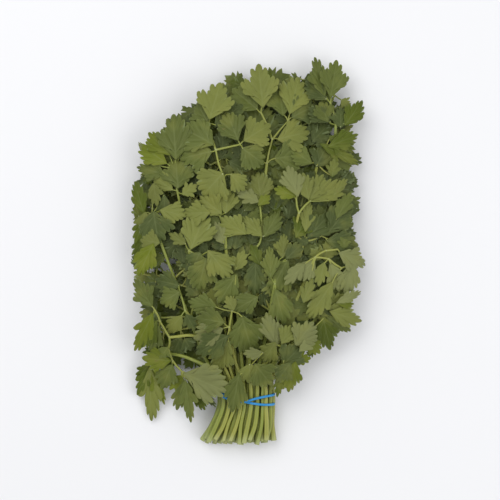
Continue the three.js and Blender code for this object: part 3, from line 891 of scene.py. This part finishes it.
def points_object(name, points, edges, kinds, rows):
    """Points that carry attributes: their kinds by name, and a row of values for each point."""
    mesh = bpy.data.meshes.new(name)
    mesh.from_pydata(points, edges, [])
    for (attribute, kind), values in zip(kinds.items(), zip(*rows)):
        data = mesh.attributes.new(attribute, kind, "POINT").data
        holder = {"FLOAT_VECTOR": "vector", "FLOAT_COLOR": "color"}.get(kind, "value")
        data.foreach_set(holder, np.array(values, "i" if kind == "INT" else "f").ravel())
    thing = bpy.data.objects.new(name, mesh)
    bpy.context.scene.collection.objects.link(thing)
    return thing


# ---- Node trees ----
# How softly the lowest blades meet the surface under them
FLOOR_EASE = 2.5 * MM
# How waves differ from layer to layer, and what makes up for noise that keeps near its middle
WAVE_SHIFT, WAVE_GAIN = 2.0, 3.0
# How soon blades above the half-way level bend down rather than up
BEND_SWITCH = 20.0
# How far blades bend at the sides, and what they go sideways and down past the bend
BEND_ANGLE, PAST_BEND_OUT, PAST_BEND_DOWN = 1.2, 0.36, 0.93
STEM_RIBS = 5
# Corners of a face along a stem's side, where its caps have more
SIDE_CORNERS = 4


def leaflet_tree():
    """Stands leaflets on points of the plan and lays them on their layers of the bunch."""
    graph, entry, form = tree_with("lay_leaflets", Leaflets="Collection")
    chosen = graph.add(
        "GeometryNodeCollectionInfo",
        {"Collection": entry.outputs["Leaflets"], "Separate Children": True, "Reset Children": True},
    )
    turn = graph.add("FunctionNodeEulerToRotation", {0: graph.field("turn", "FLOAT_VECTOR")})
    stood = graph.add("GeometryNodeInstanceOnPoints", {
        "Points": entry.outputs["Geometry"], "Instance": chosen, "Pick Instance": True,
        "Instance Index": graph.field("kind", "INT"), "Rotation": turn,
        "Scale": graph.field("stretch", "FLOAT_VECTOR"),
    })
    real = graph.add("GeometryNodeRealizeInstances", {0: stood})
    place = graph.add("GeometryNodeInputPosition")
    x, y, z = graph.split(place)
    level = graph.field("level")
    wave_values = {"Vector": place, "W": level * WAVE_SHIFT, "Scale": 1 / form.ripple_size, "Detail": 1.0}
    wave = graph.number("ShaderNodeTexNoise", wave_values, noise_dimensions="4D")
    height = layer(form, x, y, level) + graph.field("lift") + z + (wave - 0.5) * form.ripple * WAVE_GAIN
    folded_x, fold = side_fold(form, x)
    down = height - fold * (clamped((level - HALF_WAY) * BEND_SWITCH) * 2 - 1)
    rested = (down + (down * down + FLOOR_EASE**2).math("SQRT")) * 0.5
    moved_place = graph.join(folded_x, y, rested)
    moved = graph.add("GeometryNodeSetPosition", {"Geometry": real, "Position": moved_place})
    return finished(graph, entry, moved)


def side_fold(form, x):
    """The sideways place of a blade that folds down past the side, and how far down it goes."""
    start = form.half_width - form.side_bend
    beyond = (abs(x) - start).math("MAXIMUM", 0.0)
    angle = (beyond / form.side_bend).math("MINIMUM", BEND_ANGLE)
    rest = (beyond - form.side_bend * BEND_ANGLE).math("MAXIMUM", 0.0)
    reach = abs(x).math("MINIMUM", start) + form.side_bend * angle.math("SINE") + rest * PAST_BEND_OUT
    fold = form.side_bend * (1 - angle.math("COSINE")) + rest * PAST_BEND_DOWN
    return reach * x.math("SIGN"), fold


def ribs_at(share):
    """A wave round a stem, from a share of the way round it."""
    return (share * (2 * STEM_RIBS * math.pi)).math("SINE")


def stem_tree():
    """Lays paths on their layers of the bunch and sweeps a ribbed, tapering section along them."""
    graph, entry, form = tree_with("sweep_stems", Sides="Int", Rib="Float")
    x, y, z = graph.split(graph.add("GeometryNodeInputPosition"))
    thick = graph.field("thick")
    laid_at = layer(form, x, y, graph.field("level")) + graph.field("lift") + z
    laid = graph.add("GeometryNodeSetPosition", {
        "Geometry": entry.outputs["Geometry"], "Position": graph.join(x, y, laid_at.math("MAXIMUM", thick)),
    })
    path = graph.add("GeometryNodeMeshToCurve", {0: laid})
    ring = graph.add(
        "GeometryNodeCurvePrimitiveCircle", {"Resolution": entry.outputs["Sides"], "Radius": 1.0}
    )
    around = graph.number("GeometryNodeSplineParameter")
    ribs = 1 + ribs_at(around) * Number(graph, entry.outputs["Rib"])
    ring_place = graph.add("GeometryNodeInputPosition")
    ribbed_place = graph.add("ShaderNodeVectorMath", {0: ring_place, "Scale": ribs}, operation="SCALE")
    ribbed = graph.add("GeometryNodeSetPosition", {"Geometry": ring, "Position": ribbed_place})
    marked = graph.add(
        "GeometryNodeStoreNamedAttribute", {"Geometry": ribbed, "Name": "around", "Value": around},
        data_type="FLOAT", domain="POINT",
    )
    swept = graph.add(
        "GeometryNodeCurveToMesh", {"Curve": path, "Profile Curve": marked, "Scale": thick, "Fill Caps": True}
    )
    corners = graph.number("GeometryNodeInputMeshFaceNeighbors")
    caps = clamped(corners - SIDE_CORNERS)
    capped = graph.add(
        "GeometryNodeStoreNamedAttribute", {"Geometry": swept, "Name": "cap", "Value": caps},
        data_type="FLOAT", domain="FACE",
    )
    sides = clamped(SIDE_CORNERS + 1 - corners)
    smoothed = graph.add("GeometryNodeSetShadeSmooth", {"Geometry": capped, "Selection": sides})
    return finished(graph, entry, smoothed)


# ---- Materials ----
# Colours that each blade, stem or band shares, beside its own
# The rim colour is painted light: a yellower margin that stands for light shining through the thin edge of
# the blade
BLADE_AGED, BLADE_VEIN, BLADE_PAINTED_RIM_LIGHT = (0.24, 0.245, 0.05), (0.34, 0.38, 0.15), (0.30, 0.34, 0.10)
BLADE_UNDER, BLADE_SPECK, BLADE_GLOW = (0.30, 0.37, 0.17), (0.20, 0.17, 0.05), (0.31, 0.37, 0.045)
# The groove colour is painted shade: a darker green laid in the hollows between the stem's ribs
STEM_STREAK, STEM_GROOVE_SHADE, STEM_GLOW = (0.42, 0.45, 0.14), (0.13, 0.18, 0.035), (0.36, 0.39, 0.09)
# The rubber edge colour is painted shade: a darker blue for the edges of the band, where its sides would be
# in shade
RUBBER_BLOOM, RUBBER_EDGE_SHADE = (0.16, 0.46, 0.78), (0.01, 0.16, 0.45)
FLOOR_PALE, FLOOR_CLOUD = (0.84, 0.84, 0.845), (0.79, 0.79, 0.80)


def material_graph(name):
    """An empty material's graph, and places on the object that wears it."""
    material = bpy.data.materials.new(name)
    material.use_nodes = True
    material.node_tree.nodes.clear()
    graph = Graph(material.node_tree)
    return material, graph, graph.add("ShaderNodeTexCoord").outputs["Object"]


def skin(graph, colour, roughness, shine, relief, strength, depth=0.3 * MM, glow=None, through=0.0):
    """Ends a material: a surface with fine relief, and the share of light that passes through it."""
    bump = graph.add("ShaderNodeBump", {"Strength": strength, "Distance": depth, "Height": relief})
    values = {"Base Color": colour, "Roughness": roughness, "Specular IOR Level": shine, "Normal": bump}
    surface = graph.add("ShaderNodeBsdfPrincipled", values)
    if glow:
        lit = graph.add("ShaderNodeBsdfTranslucent", {"Color": glow, "Normal": bump})
        surface = graph.add("ShaderNodeMixShader", {0: through, 1: surface, 2: lit})
    graph.add("ShaderNodeOutputMaterial", {0: surface})


def leaf_material():
    """Blade with a pale midrib, side veins to every tooth and a paler underside."""
    material, graph, place = material_graph("parsley_blade")
    tint = graph.add("ShaderNodeAttribute", attribute_name="tint").outputs["Color"]
    phase, out, _ = graph.split(graph.add("ShaderNodeUVMap", uv_map="veins"))
    under = clamped((phase - (UNDER_PHASE - 2)) * 4.0)
    wobble = (graph.noise(place, 420.0) - 0.5) * 0.16
    tooth = abs((phase + wobble).math("FRACT") - 0.5)
    between_teeth = abs((phase * 2 + wobble).math("FRACT") - 0.5)
    midrib = 1 - smooth(out, 0.02, 0.14)
    side_vein = (1 - smooth(tooth, 0.03, 0.10)) * smooth(out, 0.0, 0.1) * (1 - out * 0.5)
    fine_vein = (1 - smooth(between_teeth, 0.03, 0.12)) * smooth(out, 0.15, 0.4) * 0.35
    veins = clamped(midrib * 0.9 + side_vein * 0.45 + fine_vein)
    patches = graph.noise(place, 55.0, 2.0)
    mottle = graph.noise(place, 900.0, 3.0, 0.6)
    shade = 0.70 + patches * 0.42 + mottle * 0.20
    grey = graph.add("ShaderNodeCombineColor", {0: shade, 1: shade, 2: shade})
    body = graph.mix(1.0, tint, grey, "MULTIPLY")
    aged = graph.mix(smooth(patches, 0.48, 0.70) * 0.40, body, BLADE_AGED)
    veined = graph.mix(veins * 0.20, aged, BLADE_VEIN)
    # Painted light: the margin turns yellower, as if lit through from behind
    with_painted_rim_light = graph.mix(smooth(out, 0.88, 1.0) * 0.25, veined, BLADE_PAINTED_RIM_LIGHT)
    sides = graph.mix(under * 0.38, with_painted_rim_light, BLADE_UNDER)
    specks = smooth(graph.noise(place, 260.0, 2.0), 0.70, 0.76) * 0.5
    roughness = 0.42 + mottle * 0.22 + under * 0.15
    skin(
        graph, graph.mix(specks, sides, BLADE_SPECK), roughness, shine=0.22,
        relief=1 - veins * 0.45 + mottle * 0.35, strength=0.32, glow=BLADE_GLOW, through=0.22,
    )
    return material


def stem_material():
    """Ribbed green skin with paler streaks, painted shade darkening the rib grooves, and a pale pith on the
    cut ends.
    """
    look = bpy.context.scene.parsley_stem
    material, graph, place = material_graph("parsley_stem")
    x, y, z = graph.split(place)
    streaks = graph.noise(graph.join(x, y * 0.06, z), 1300.0, 2.0)
    blotches = graph.noise(place, 90.0, 2.0)
    ribs = (ribs_at(graph.mark("around")) + 1) * 0.5
    green = graph.mix(clamped(graph.mark("ripe") + (blotches - 0.5) * 0.6), look.green, look.ripe)
    streaked = graph.mix(smooth(streaks, 0.45, 0.7) * 0.4, green, STEM_STREAK)
    # Painted shade: the grooves between the ribs are darkened
    groove_shaded = graph.mix((1 - ribs) * 0.35, streaked, STEM_GROOVE_SHADE)
    pale_end = (1 - smooth(graph.mark("along"), 0.0, 0.10)) * 0.35
    skin(
        graph, graph.mix(clamped(pale_end + graph.mark("cap")), groove_shaded, look.pith), 0.30 + streaks * 0.25,
        shine=0.4, relief=ribs * 0.6 + streaks * 0.5, strength=0.5, glow=STEM_GLOW, through=0.12,
    )
    return material


def rubber_material():
    """Dull blue rubber with a faint bloom, and painted shade that darkens its edges."""
    material, graph, place = material_graph("blue_rubber")
    bloom = graph.noise(place, 160.0, 3.0)
    grain = graph.noise(place, 2600.0, 2.0)
    blue = bpy.context.scene.parsley_band.blue
    dusty = graph.mix(smooth(bloom, 0.45, 0.75) * 0.30, blue, RUBBER_BLOOM)
    # Painted shade: four darker lines round the band's section darken its edges
    face = 1 - smooth(abs((graph.mark("around") * 4).math("FRACT") - 0.5), 0.30, 0.48)
    skin(
        graph, graph.mix((1 - face) * 0.25, dusty, RUBBER_EDGE_SHADE), 0.42 + grain * 0.2,
        shine=0.45, relief=grain + bloom, strength=0.3, depth=0.2 * MM,
    )
    return material


def floor_material():
    """Pale, faintly clouded paper."""
    material, graph, place = material_graph("pale_floor")
    colour = graph.mix(graph.noise(place, 3.0) * 0.3, FLOOR_PALE, FLOOR_CLOUD)
    surface = graph.add("ShaderNodeBsdfPrincipled", {"Base Color": colour, "Roughness": 0.7})
    graph.add("ShaderNodeOutputMaterial", {0: surface})
    return material


def material_named(name, make):
    return bpy.data.materials.get(name) or make()


# ---- Building leaves ----
# Leaflets overlap as discs: where along a leaflet its disc lies, and how near two have to be, as a share
# of their radii. One lies this far above those of its leaf that it overlaps.
DISC_MIDDLE, OVERLAP, OVERLAP_RISE = 0.55, 0.9, 1.1
# How far leaflets tip forwards and sideways, and how bright they are beside their leaf's colour
LEAFLET_NOD, LEAFLET_ROLL, LEAFLET_BRIGHTNESS = 0.08, 0.11, (0.9, 1.12)
LEAFLET_FIELDS = dict(
    turn="FLOAT_VECTOR", stretch="FLOAT_VECTOR", kind="INT", level="FLOAT", lift="FLOAT", tint="FLOAT_COLOR"
)


def leaflet_collection(fine):
    """The leaflet forms as hidden objects for a node tree to choose from."""
    name = "fine_leaflets" if fine else "coarse_leaflets"
    collection = bpy.data.collections.get(name)
    if not collection:
        collection = bpy.data.collections.new(name)
        for index, shape in enumerate(leaflet_shapes()):
            mesh = leaflet_mesh(f"{name}_{index:02d}", shape, fine)
            collection.objects.link(bpy.data.objects.new(mesh.name, mesh))
    return collection


def overlap_ranks(leaflets):
    """How many leaflets deep each leaflet lies on the earlier ones that it overlaps."""
    discs, ranks = [], []
    for base, tip, width, _ in leaflets:
        middle = between_places(base, tip, DISC_MIDDLE)
        radius = (distance(base, tip) + width) / 4
        under = [
            rank for (other, reach), rank in zip(discs, ranks)
            if distance(other, middle) < (reach + radius) * OVERLAP
        ]
        discs.append((middle, radius))
        ranks.append(max(under, default=-1) + 1)
    return ranks


def leaflet_points(name, leaves, fine, rng):
    """Where each leaflet stands in the plan, and how it is turned, stretched, layered and tinted."""
    look = bpy.context.scene.parsley_leaf
    places, rows = [], []
    for leaf in leaves:
        for rank, (base, tip, width, colour) in zip(overlap_ranks(leaf["leaflets"]), leaf["leaflets"]):
            length = distance(tip, base)
            heading = math.atan2(tip[1] - base[1], tip[0] - base[0]) - math.pi / 2
            turn = (stray(rng, LEAFLET_NOD), stray(rng, LEAFLET_ROLL), heading)
            stretch = (width / 2 * MM, length * MM, length * MM)
            kind = kind_for(width, length, fine, rng)
            brightness = rng.uniform(*LEAFLET_BRIGHTNESS)
            tint = [channel * brightness for channel in getattr(look, colour)] + [1]
            lift = (leaf["lift"] + OVERLAP_RISE * rank) * MM
            places.append((base[0] * MM, base[1] * MM, 0))
            rows.append((turn, stretch, kind, leaf["level"], lift, tint))
    return points_object(name, places, [], LEAFLET_FIELDS, rows)


def build_leaflets(name, leaves, fine, seed, replaced=()):
    source = leaflet_points(name + "_points", leaves, fine, random.Random(seed))
    tree = bpy.data.node_groups.get("lay_leaflets") or leaflet_tree()
    material = material_named("parsley_blade", leaf_material)
    piece = baked(source, tree, {"Leaflets": leaflet_collection(fine), "Material": material}, name)
    declare(piece, replaced)


# ---- Building stems, stalks and the band ----
# The cut ends: where along and across the bunch, how unevenly cut, and how much wider than at the neck
CUT_Y, CUT_X, CUT_STAGGER, FAN_OUT = -146, -8, 4.5, 1.28
# Places along a stem: between the cut end and the neck, the band's two sides, and above the neck
FLARE_Y, NECK_Y, BAND_Y, SHOULDER_Y = -131, -116, -106, -96
# How far stems stray: across at the cut end, at the neck, where they bend and at their stops, and up or
# down at the cut end, below the neck and above it
CUT_STRAY, NECK_STRAY, BEND_STRAY, STOP_STRAY = 1.8, 0.9, 1.3, 1.2
CUT_LIFT, FLARE_LIFT, SHOULDER_LIFT = 0.9, 0.6, 1
# Where a stem turns from the neck to a leaf that starts above LEAST_STOP_END, and its first stop then
TURN_Y, FIRST_STOP_Y, LEAST_STOP_END = -110, -80, -75
STOP_PITCH, LAST_STOP_CLEARANCE = 40, 28
# Shares of the full thickness that stems have, and how rare ripe ones are
STEM_SHARES, RIPE_RARITY = (0.72, 1.06), 1.5
STEM_SIDES, BAND_SIDES, STEM_RIB_DEPTH = 15, 12, 0.05
# Stalks: how far their middles stray, the share of their rise there, how far along a blade they end and
# how much above its base
STALK_STRAY, STALK_RISE, STALK_REACH, STALK_OVER = 0.8, 0.3, 0.06, 0.2
# Radii at both ends of a leaflet's stalk and of the rachis, in shares of the stalk's and the stem's
STALK_TAPER, RACHIS_TAPER = (1.1, 0.75), (0.75, 0.62)
PATH_STEPS = 10
PATH_FIELDS = dict.fromkeys(("level", "lift", "thick", "along", "ripe"), "FLOAT")
# Which knots of a span each step of a Catmull-Rom curve's pyramid lies between
PYRAMID = (((0, 1), (1, 2), (2, 3)), ((0, 2), (1, 3)), ((1, 2),))


def smooth_path(points, steps):
    """A centripetal Catmull-Rom curve through points of any number of measures."""
    points = np.array(points, float)
    knots = np.vstack([points[0] * 2 - points[1], points, points[-1] * 2 - points[-2]])
    gaps = [max(1e-6, np.hypot(*gap[:2])) ** 0.5 for gap in np.diff(knots, axis=0)]
    times = [0.0, *np.cumsum(gaps)]
    spans = len(points) - 1
    result = []
    for step in range(steps + 1):
        place = min(spans - 1e-9, step / steps * spans)
        first = int(place)
        t, corners = times[first:first + 4], knots[first:first + 4]
        now = between(t[1], t[2], place - first)
        for stage in PYRAMID:
            corners = [
                (t[end] - now) / (t[end] - t[start]) * low + (now - t[start]) / (t[end] - t[start]) * high
                for (start, end), low, high in zip(stage, corners, corners[1:])
            ]
        result.append(corners[0])
    return np.array(result)


def stalk_sink(leaf):
    return leaf["sink"] * (1 if leaf["level"] > UNDERMOST else -1)


def stem_path(leaf, rng):
    """Plan place, level and lift along a stem, from its cut end to the start of its leaf."""
    row, (end_x, end_y) = leaf["row"], leaf["rachis"][0][:2]
    neck_x = site_x(row, leaf["site"])
    cut_x = CUT_X + (neck_x - NECK_X) * FAN_OUT + stray(rng, CUT_STRAY)
    cut_y = CUT_Y + rng.uniform(0, CUT_STAGGER)
    neck_x += stray(rng, NECK_STRAY)
    aside = stray(rng, BEND_STRAY)
    stops = list(leaf["via"])
    if not stops and end_y > LEAST_STOP_END:
        share = (FIRST_STOP_Y - TURN_Y) / (end_y - TURN_Y)
        stops = [(between(neck_x, end_x, share), FIRST_STOP_Y)]
    points = [
        (cut_x, cut_y, stray(rng, CUT_LIFT)),
        (between(cut_x, neck_x, 0.5) + aside, FLARE_Y, stray(rng, FLARE_LIFT)),
        (neck_x, NECK_Y, 0),
        (neck_x, BAND_Y, 0),
        (neck_x + aside, SHOULDER_Y, stray(rng, SHOULDER_LIFT)),
        *((x, y, 0) for x, y in stops),
    ]
    last = stops[-1] if stops else (neck_x, BAND_Y)
    away = distance(last, (end_x, end_y))
    for reach in np.arange(STOP_PITCH, away - LAST_STOP_CLEARANCE, STOP_PITCH):
        x, y = between_places(last, (end_x, end_y), reach / away)
        points.append((x + stray(rng, STOP_STRAY), y, 0))
    laid = [(x, y, sheet_level(row, y), lift) for x, y, lift in points]
    return laid + [(end_x, end_y, leaf["level"], leaf["lift"] - stalk_sink(leaf))]


def path_mesh(name, paths):
    """A mesh of edges along paths, each (points, start radius, end radius, ripeness, closed)."""
    places, edges, rows = [], [], []
    for points, start_radius, end_radius, ripe, closed in paths:
        first = len(places)
        for index, (x, y, level, lift) in enumerate(points):
            share = index / (len(points) - 1)
            places.append((x * MM, y * MM, 0))
            rows.append((level, lift * MM, between(start_radius, end_radius, share), share, ripe))
            if index:
                edges.append((first + index - 1, first + index))
        if closed:
            edges.append((len(places) - 1, first))
    return points_object(name, places, edges, PATH_FIELDS, rows)


def build_paths(name, paths, material, sides, rib=0.0, replaced=()):
    tree = bpy.data.node_groups.get("sweep_stems") or stem_tree()
    values = {"Material": material, "Sides": sides, "Rib": rib}
    piece = baked(path_mesh(name + "_paths", paths), tree, values, name)
    outwards(piece.data)
    declare(piece, replaced)


def outwards(mesh):
    """Turns the faces round if the closed surface encloses a negative volume."""
    mesh.calc_loop_triangles()
    corners = np.empty(len(mesh.loop_triangles) * 3, "i")
    mesh.loop_triangles.foreach_get("vertices", corners)
    places = np.empty(len(mesh.vertices) * 3, "f")
    mesh.vertices.foreach_get("co", places)
    a, b, c = places.reshape(-1, 3)[corners.reshape(-1, 3)].transpose(1, 0, 2)
    if np.einsum("ij,ij->i", a, np.cross(b, c)).sum() < 0:
        mesh.flip_normals()


def stems_of(leaves, seed):
    look = bpy.context.scene.parsley_stem
    rng = random.Random(seed)
    paths = []
    for leaf in leaves:
        rough = stem_path(leaf, rng)
        points = smooth_path(rough, PATH_STEPS * (len(rough) - 1))
        thick = rng.uniform(*STEM_SHARES)
        ripe = rng.random() ** RIPE_RARITY
        paths.append((points, look.cut_radius * thick, look.leaf_radius * thick, ripe, False))
    return paths


def stalks_of(leaves, seed, steps):
    """The rachis of each leaf and the stalk of each leaflet."""
    look = bpy.context.scene.parsley_stem
    rng = random.Random(seed)
    paths = []
    for leaf in leaves:
        level, nodes, sink = leaf["level"], leaf["rachis"], stalk_sink(leaf)
        low = leaf["lift"] - sink
        ripe = rng.random()

        def bar(start, end, rise, radius, taper):
            middle = [place + stray(rng, STALK_STRAY) for place in between_places(start, end, 0.5)]
            heights = (low, low + rise * STALK_RISE, low + rise)
            rough = [(*place, level, height) for place, height in zip((start, middle, end), heights)]
            paths.append((smooth_path(rough, steps), radius * taper[0], radius * taper[1], ripe, False))

        bearing = set()
        for base, tip, _, _ in leaf["leaflets"]:
            nearest = min(range(len(nodes)), key=lambda i: distance(nodes[i], base))
            into = between_places(base, tip, STALK_REACH)
            bar(nodes[nearest][:2], into, sink + STALK_OVER, look.stalk_radius, STALK_TAPER)
            while nearest and nearest not in bearing:
                bearing.add(nearest)
                nearest = nodes[nearest][2]
        for index in sorted(bearing):
            x, y, parent = nodes[index]
            bar(nodes[parent][:2], (x, y), 0.0, look.leaf_radius, RACHIS_TAPER)
    return paths


# The band's way round the neck, twice: share of a turn from the right side over the top, and the place
# along the bunch. It starts and ends underneath, and its two turns cross once on top.
BAND_ROUTE = (
    (-0.25, -112.5), (-0.12, -114), (0, -114.8), (0.13, -115), (0.267, -112.6), (0.347, -109.3),
    (0.43, -105.8), (0.5, -104.8), (0.62, -106), (0.75, -108), (0.9, -108), (1.0, -107.6), (1.09, -108.4),
    (1.18, -110.4), (1.267, -112.8), (1.347, -111.3), (1.43, -107.9), (1.5, -106.9), (1.62, -109.5),
    (1.75, -112.5),
)
# Where the turns cross, how far they part on either side of it and where the first one ends, in turns
BAND_CROSSING, BAND_PARTING, SECOND_TURN = 0.267, 0.10, 0.75
BAND_SQUARENESS, BAND_STEPS, RING_STEPS = 4, 240, 1440
# Length of a turn in the plan of its route
TURN_LENGTH = 120


def neck_section(shares, middle_z):
    """Places on a squared ring round the neck, at shares of its length from its right side."""
    look = bpy.context.scene.parsley_band
    angles = np.linspace(0, 2 * math.pi, RING_STEPS + 1)

    def squared(value):
        return np.sign(value) * np.abs(value) ** (2 / BAND_SQUARENESS)

    x = look.half_width * squared(np.cos(angles))
    z = look.half_height * squared(np.sin(angles))
    lengths = np.concatenate([[0], np.cumsum(np.hypot(np.diff(x), np.diff(z)))])
    order = np.arange(len(angles))
    at = np.interp(shares % 1, lengths / lengths[-1], order)
    return look.neck_x + np.interp(at, order, x), middle_z + np.interp(at, order, z)


def band_points():
    """Points of the band, one loop wound twice round the neck, as the paths of the stems give them."""
    look, form = bpy.context.scene.parsley_band, bpy.context.scene.parsley_form
    route = smooth_path([(share * TURN_LENGTH, y) for share, y in BAND_ROUTE], BAND_STEPS)[:-1]
    shares = route[:, 0] / TURN_LENGTH
    middle_z = (form.neck_under + form.neck_top) / 2
    ring_x, ring_z = neck_section(shares, middle_z)
    near = 1 - smooth(abs(shares % 1 - BAND_CROSSING), 0, BAND_PARTING)
    over = 1 + np.where(shares > SECOND_TURN, 1, -1) * near * look.stack / look.half_height
    points = []
    for x, y, z, rise in zip(ring_x, route[:, 1] * MM, ring_z, over):
        height = middle_z + (z - middle_z) * rise
        points.append((x / MM, y / MM, 0.0, (height - layer(form, x, y, 0.0)) / MM))
    return points


# ---- Operators ----
class PARSLEY_OT_leaves(bpy.types.Operator):
    """Makes the leaves that lie on top of the bunch."""

    bl_idname = "parsley.leaves"
    bl_label = "Upper leaves"

    def execute(self, context):
        leaves = upper_leaves()
        for name, numbers in (("near_leaves", NEAR), ("middle_leaves", MIDDLE), ("far_leaves", FAR)):
            chosen = [leaves[number] for number in numbers]
            replaced = node_names("leaf", numbers)
            build_leaflets(name, chosen, fine=True, seed=numbers[0], replaced=replaced)
        return {"FINISHED"}


class PARSLEY_OT_under_leaves(bpy.types.Operator):
    """Makes the leaves that the bunch lies on."""

    bl_idname = "parsley.under_leaves"
    bl_label = "Under leaves"

    def execute(self, context):
        replaced = node_names("leaf", UNDER_NUMBERS)
        build_leaflets("under_leaves", under_leaves(), fine=False, seed=41, replaced=replaced)
        return {"FINISHED"}


class PARSLEY_OT_inner_leaves(bpy.types.Operator):
    """Makes the leaves inside the bunch."""

    bl_idname = "parsley.inner_leaves"
    bl_label = "Inner leaves"

    def execute(self, context):
        build_leaflets("inner_leaves", inner_leaves(), fine=False, seed=53)
        build_leaflets("side_leaves", side_leaves(), fine=False, seed=59)
        return {"FINISHED"}


class PARSLEY_OT_stems(bpy.types.Operator):
    """Makes the stems, from their cut ends to the leaves."""

    bl_idname = "parsley.stems"
    bl_label = "Stems"

    def execute(self, context):
        material = material_named("parsley_stem", stem_material)
        groups = (
            ("upper_stems", LEAVES, 3, node_names("stem", UPPER_NUMBERS)),
            ("under_stems", under_leaves(), 4, node_names("stem", UNDER_NUMBERS)),
            ("inner_stems", inner_leaves(), 6, ()),
        )
        for name, leaves, seed, replaced in groups:
            paths = stems_of(leaves, seed)
            build_paths(name, paths, material, STEM_SIDES, STEM_RIB_DEPTH, replaced)
        return {"FINISHED"}


class PARSLEY_OT_stalks(bpy.types.Operator):
    """Makes the branching stalks that carry the leaflets."""

    bl_idname = "parsley.stalks"
    bl_label = "Stalks"

    def execute(self, context):
        material = material_named("parsley_stem", stem_material)
        groups = (
            ("upper_stalks", upper_leaves(), 8, 8), ("under_stalks", under_leaves(), 5, 6),
            ("inner_stalks", inner_leaves(), 5, 6), ("side_stalks", side_leaves(), 5, 6),
        )
        for seed, (name, leaves, steps, sides) in enumerate(groups):
            build_paths(name, stalks_of(leaves, seed, steps), material, sides)
        return {"FINISHED"}


class PARSLEY_OT_band(bpy.types.Operator):
    """Makes the rubber band that holds the stems."""

    bl_idname = "parsley.band"
    bl_label = "Rubber band"

    def execute(self, context):
        radius = context.scene.parsley_band.radius
        material = material_named("blue_rubber", rubber_material)
        paths = [(band_points(), radius, radius, 0.0, True)]
        build_paths("blue_rubber_band", paths, material, BAND_SIDES, replaced=["rubber_band"])
        return {"FINISHED"}


class PARSLEY_OT_studio(bpy.types.Operator):
    """Makes the floor, the lights and the camera that looks straight down."""

    bl_idname = "parsley.studio"
    bl_label = "Studio"

    def execute(self, context):
        scene = context.scene
        self.floor(scene)
        self.sky(scene)
        self.lamp(scene, "key_light", (-0.5, 0.55, 1.25), size=1.3, power=9.5)
        self.lamp(scene, "fill_light", (0.75, -0.25, 1.1), size=1.1, power=4.5)
        self.camera(scene)
        scene.view_settings.view_transform = "Standard"
        return {"FINISHED"}

    def floor(self, scene):
        half = 3.0
        mesh = bpy.data.meshes.new("floor")
        mesh.from_pydata(
            [(-half, -half, 0), (half, -half, 0), (half, half, 0), (-half, half, 0)], [], [(0, 1, 2, 3)]
        )
        mesh.materials.append(floor_material())
        floor = bpy.data.objects.new("floor", mesh)
        scene.collection.objects.link(floor)

    def sky(self, scene):
        world = bpy.data.worlds.new("soft_sky")
        world.use_nodes = True
        background = world.node_tree.nodes["Background"]
        background.inputs["Color"].default_value = (0.96, 0.97, 1.0, 1)
        background.inputs["Strength"].default_value = 0.66
        scene.world = world

    def lamp(self, scene, name, place, size, power):
        data = bpy.data.lights.new(name, "AREA")
        data.shape = "DISK"
        data.size = size
        data.energy = power
        lamp = bpy.data.objects.new(name, data)
        lamp.location = place
        lamp.rotation_euler = (-Vector(place)).to_track_quat("-Z", "Y").to_euler()
        scene.collection.objects.link(lamp)

    def camera(self, scene):
        view_width, reach, above = 375 * MM, 1.6, 30 * MM
        data = bpy.data.cameras.new("camera")
        data.sensor_width = 36
        data.lens = data.sensor_width * reach / view_width
        camera = bpy.data.objects.new("camera", data)
        camera.location = (1.5 * MM, 1.5 * MM, reach + above)
        scene.collection.objects.link(camera)
        scene.camera = camera


class PARSLEY_PT_panel(bpy.types.Panel):
    """The steps that build the bunch, in order."""

    bl_idname = "PARSLEY_PT_panel"
    bl_label = "Parsley bunch"
    bl_space_type = "VIEW_3D"
    bl_region_type = "UI"
    bl_category = "Parsley"

    def draw(self, context):
        for group in ("parsley_form", "parsley_leaf", "parsley_stem", "parsley_band"):
            box = self.layout.box()
            holder = getattr(context.scene, group)
            for name in holder.__annotations__:
                box.prop(holder, name)
        for step in STEPS:
            self.layout.operator(step.bl_idname)


STEPS = (
    PARSLEY_OT_stems, PARSLEY_OT_stalks, PARSLEY_OT_leaves, PARSLEY_OT_under_leaves,
    PARSLEY_OT_inner_leaves, PARSLEY_OT_band, PARSLEY_OT_studio,
)
GROUPS = {
    "parsley_form": ParsleyForm, "parsley_leaf": ParsleyLeafLook,
    "parsley_stem": ParsleyStemLook, "parsley_band": ParsleyBandLook,
}


def register():
    for group in (*GROUPS.values(), *STEPS, PARSLEY_PT_panel):
        bpy.utils.register_class(group)
    for name, group in GROUPS.items():
        setattr(bpy.types.Scene, name, bpy.props.PointerProperty(type=group))


def unregister():
    for name in GROUPS:
        delattr(bpy.types.Scene, name)
    for group in reversed((*GROUPS.values(), *STEPS, PARSLEY_PT_panel)):
        bpy.utils.unregister_class(group)


def clear_stock():
    """Removes the leaflet forms, which only the node trees used."""
    for collection in list(bpy.data.collections):
        if collection.name.endswith("_leaflets"):
            for thing in list(collection.objects):
                bpy.data.objects.remove(thing)
            bpy.data.collections.remove(collection)


def main():
    register()
    for step in STEPS:
        family, name = step.bl_idname.split(".")
        getattr(getattr(bpy.ops, family), name)()
    clear_stock()


if __name__ == "__main__":
    main()
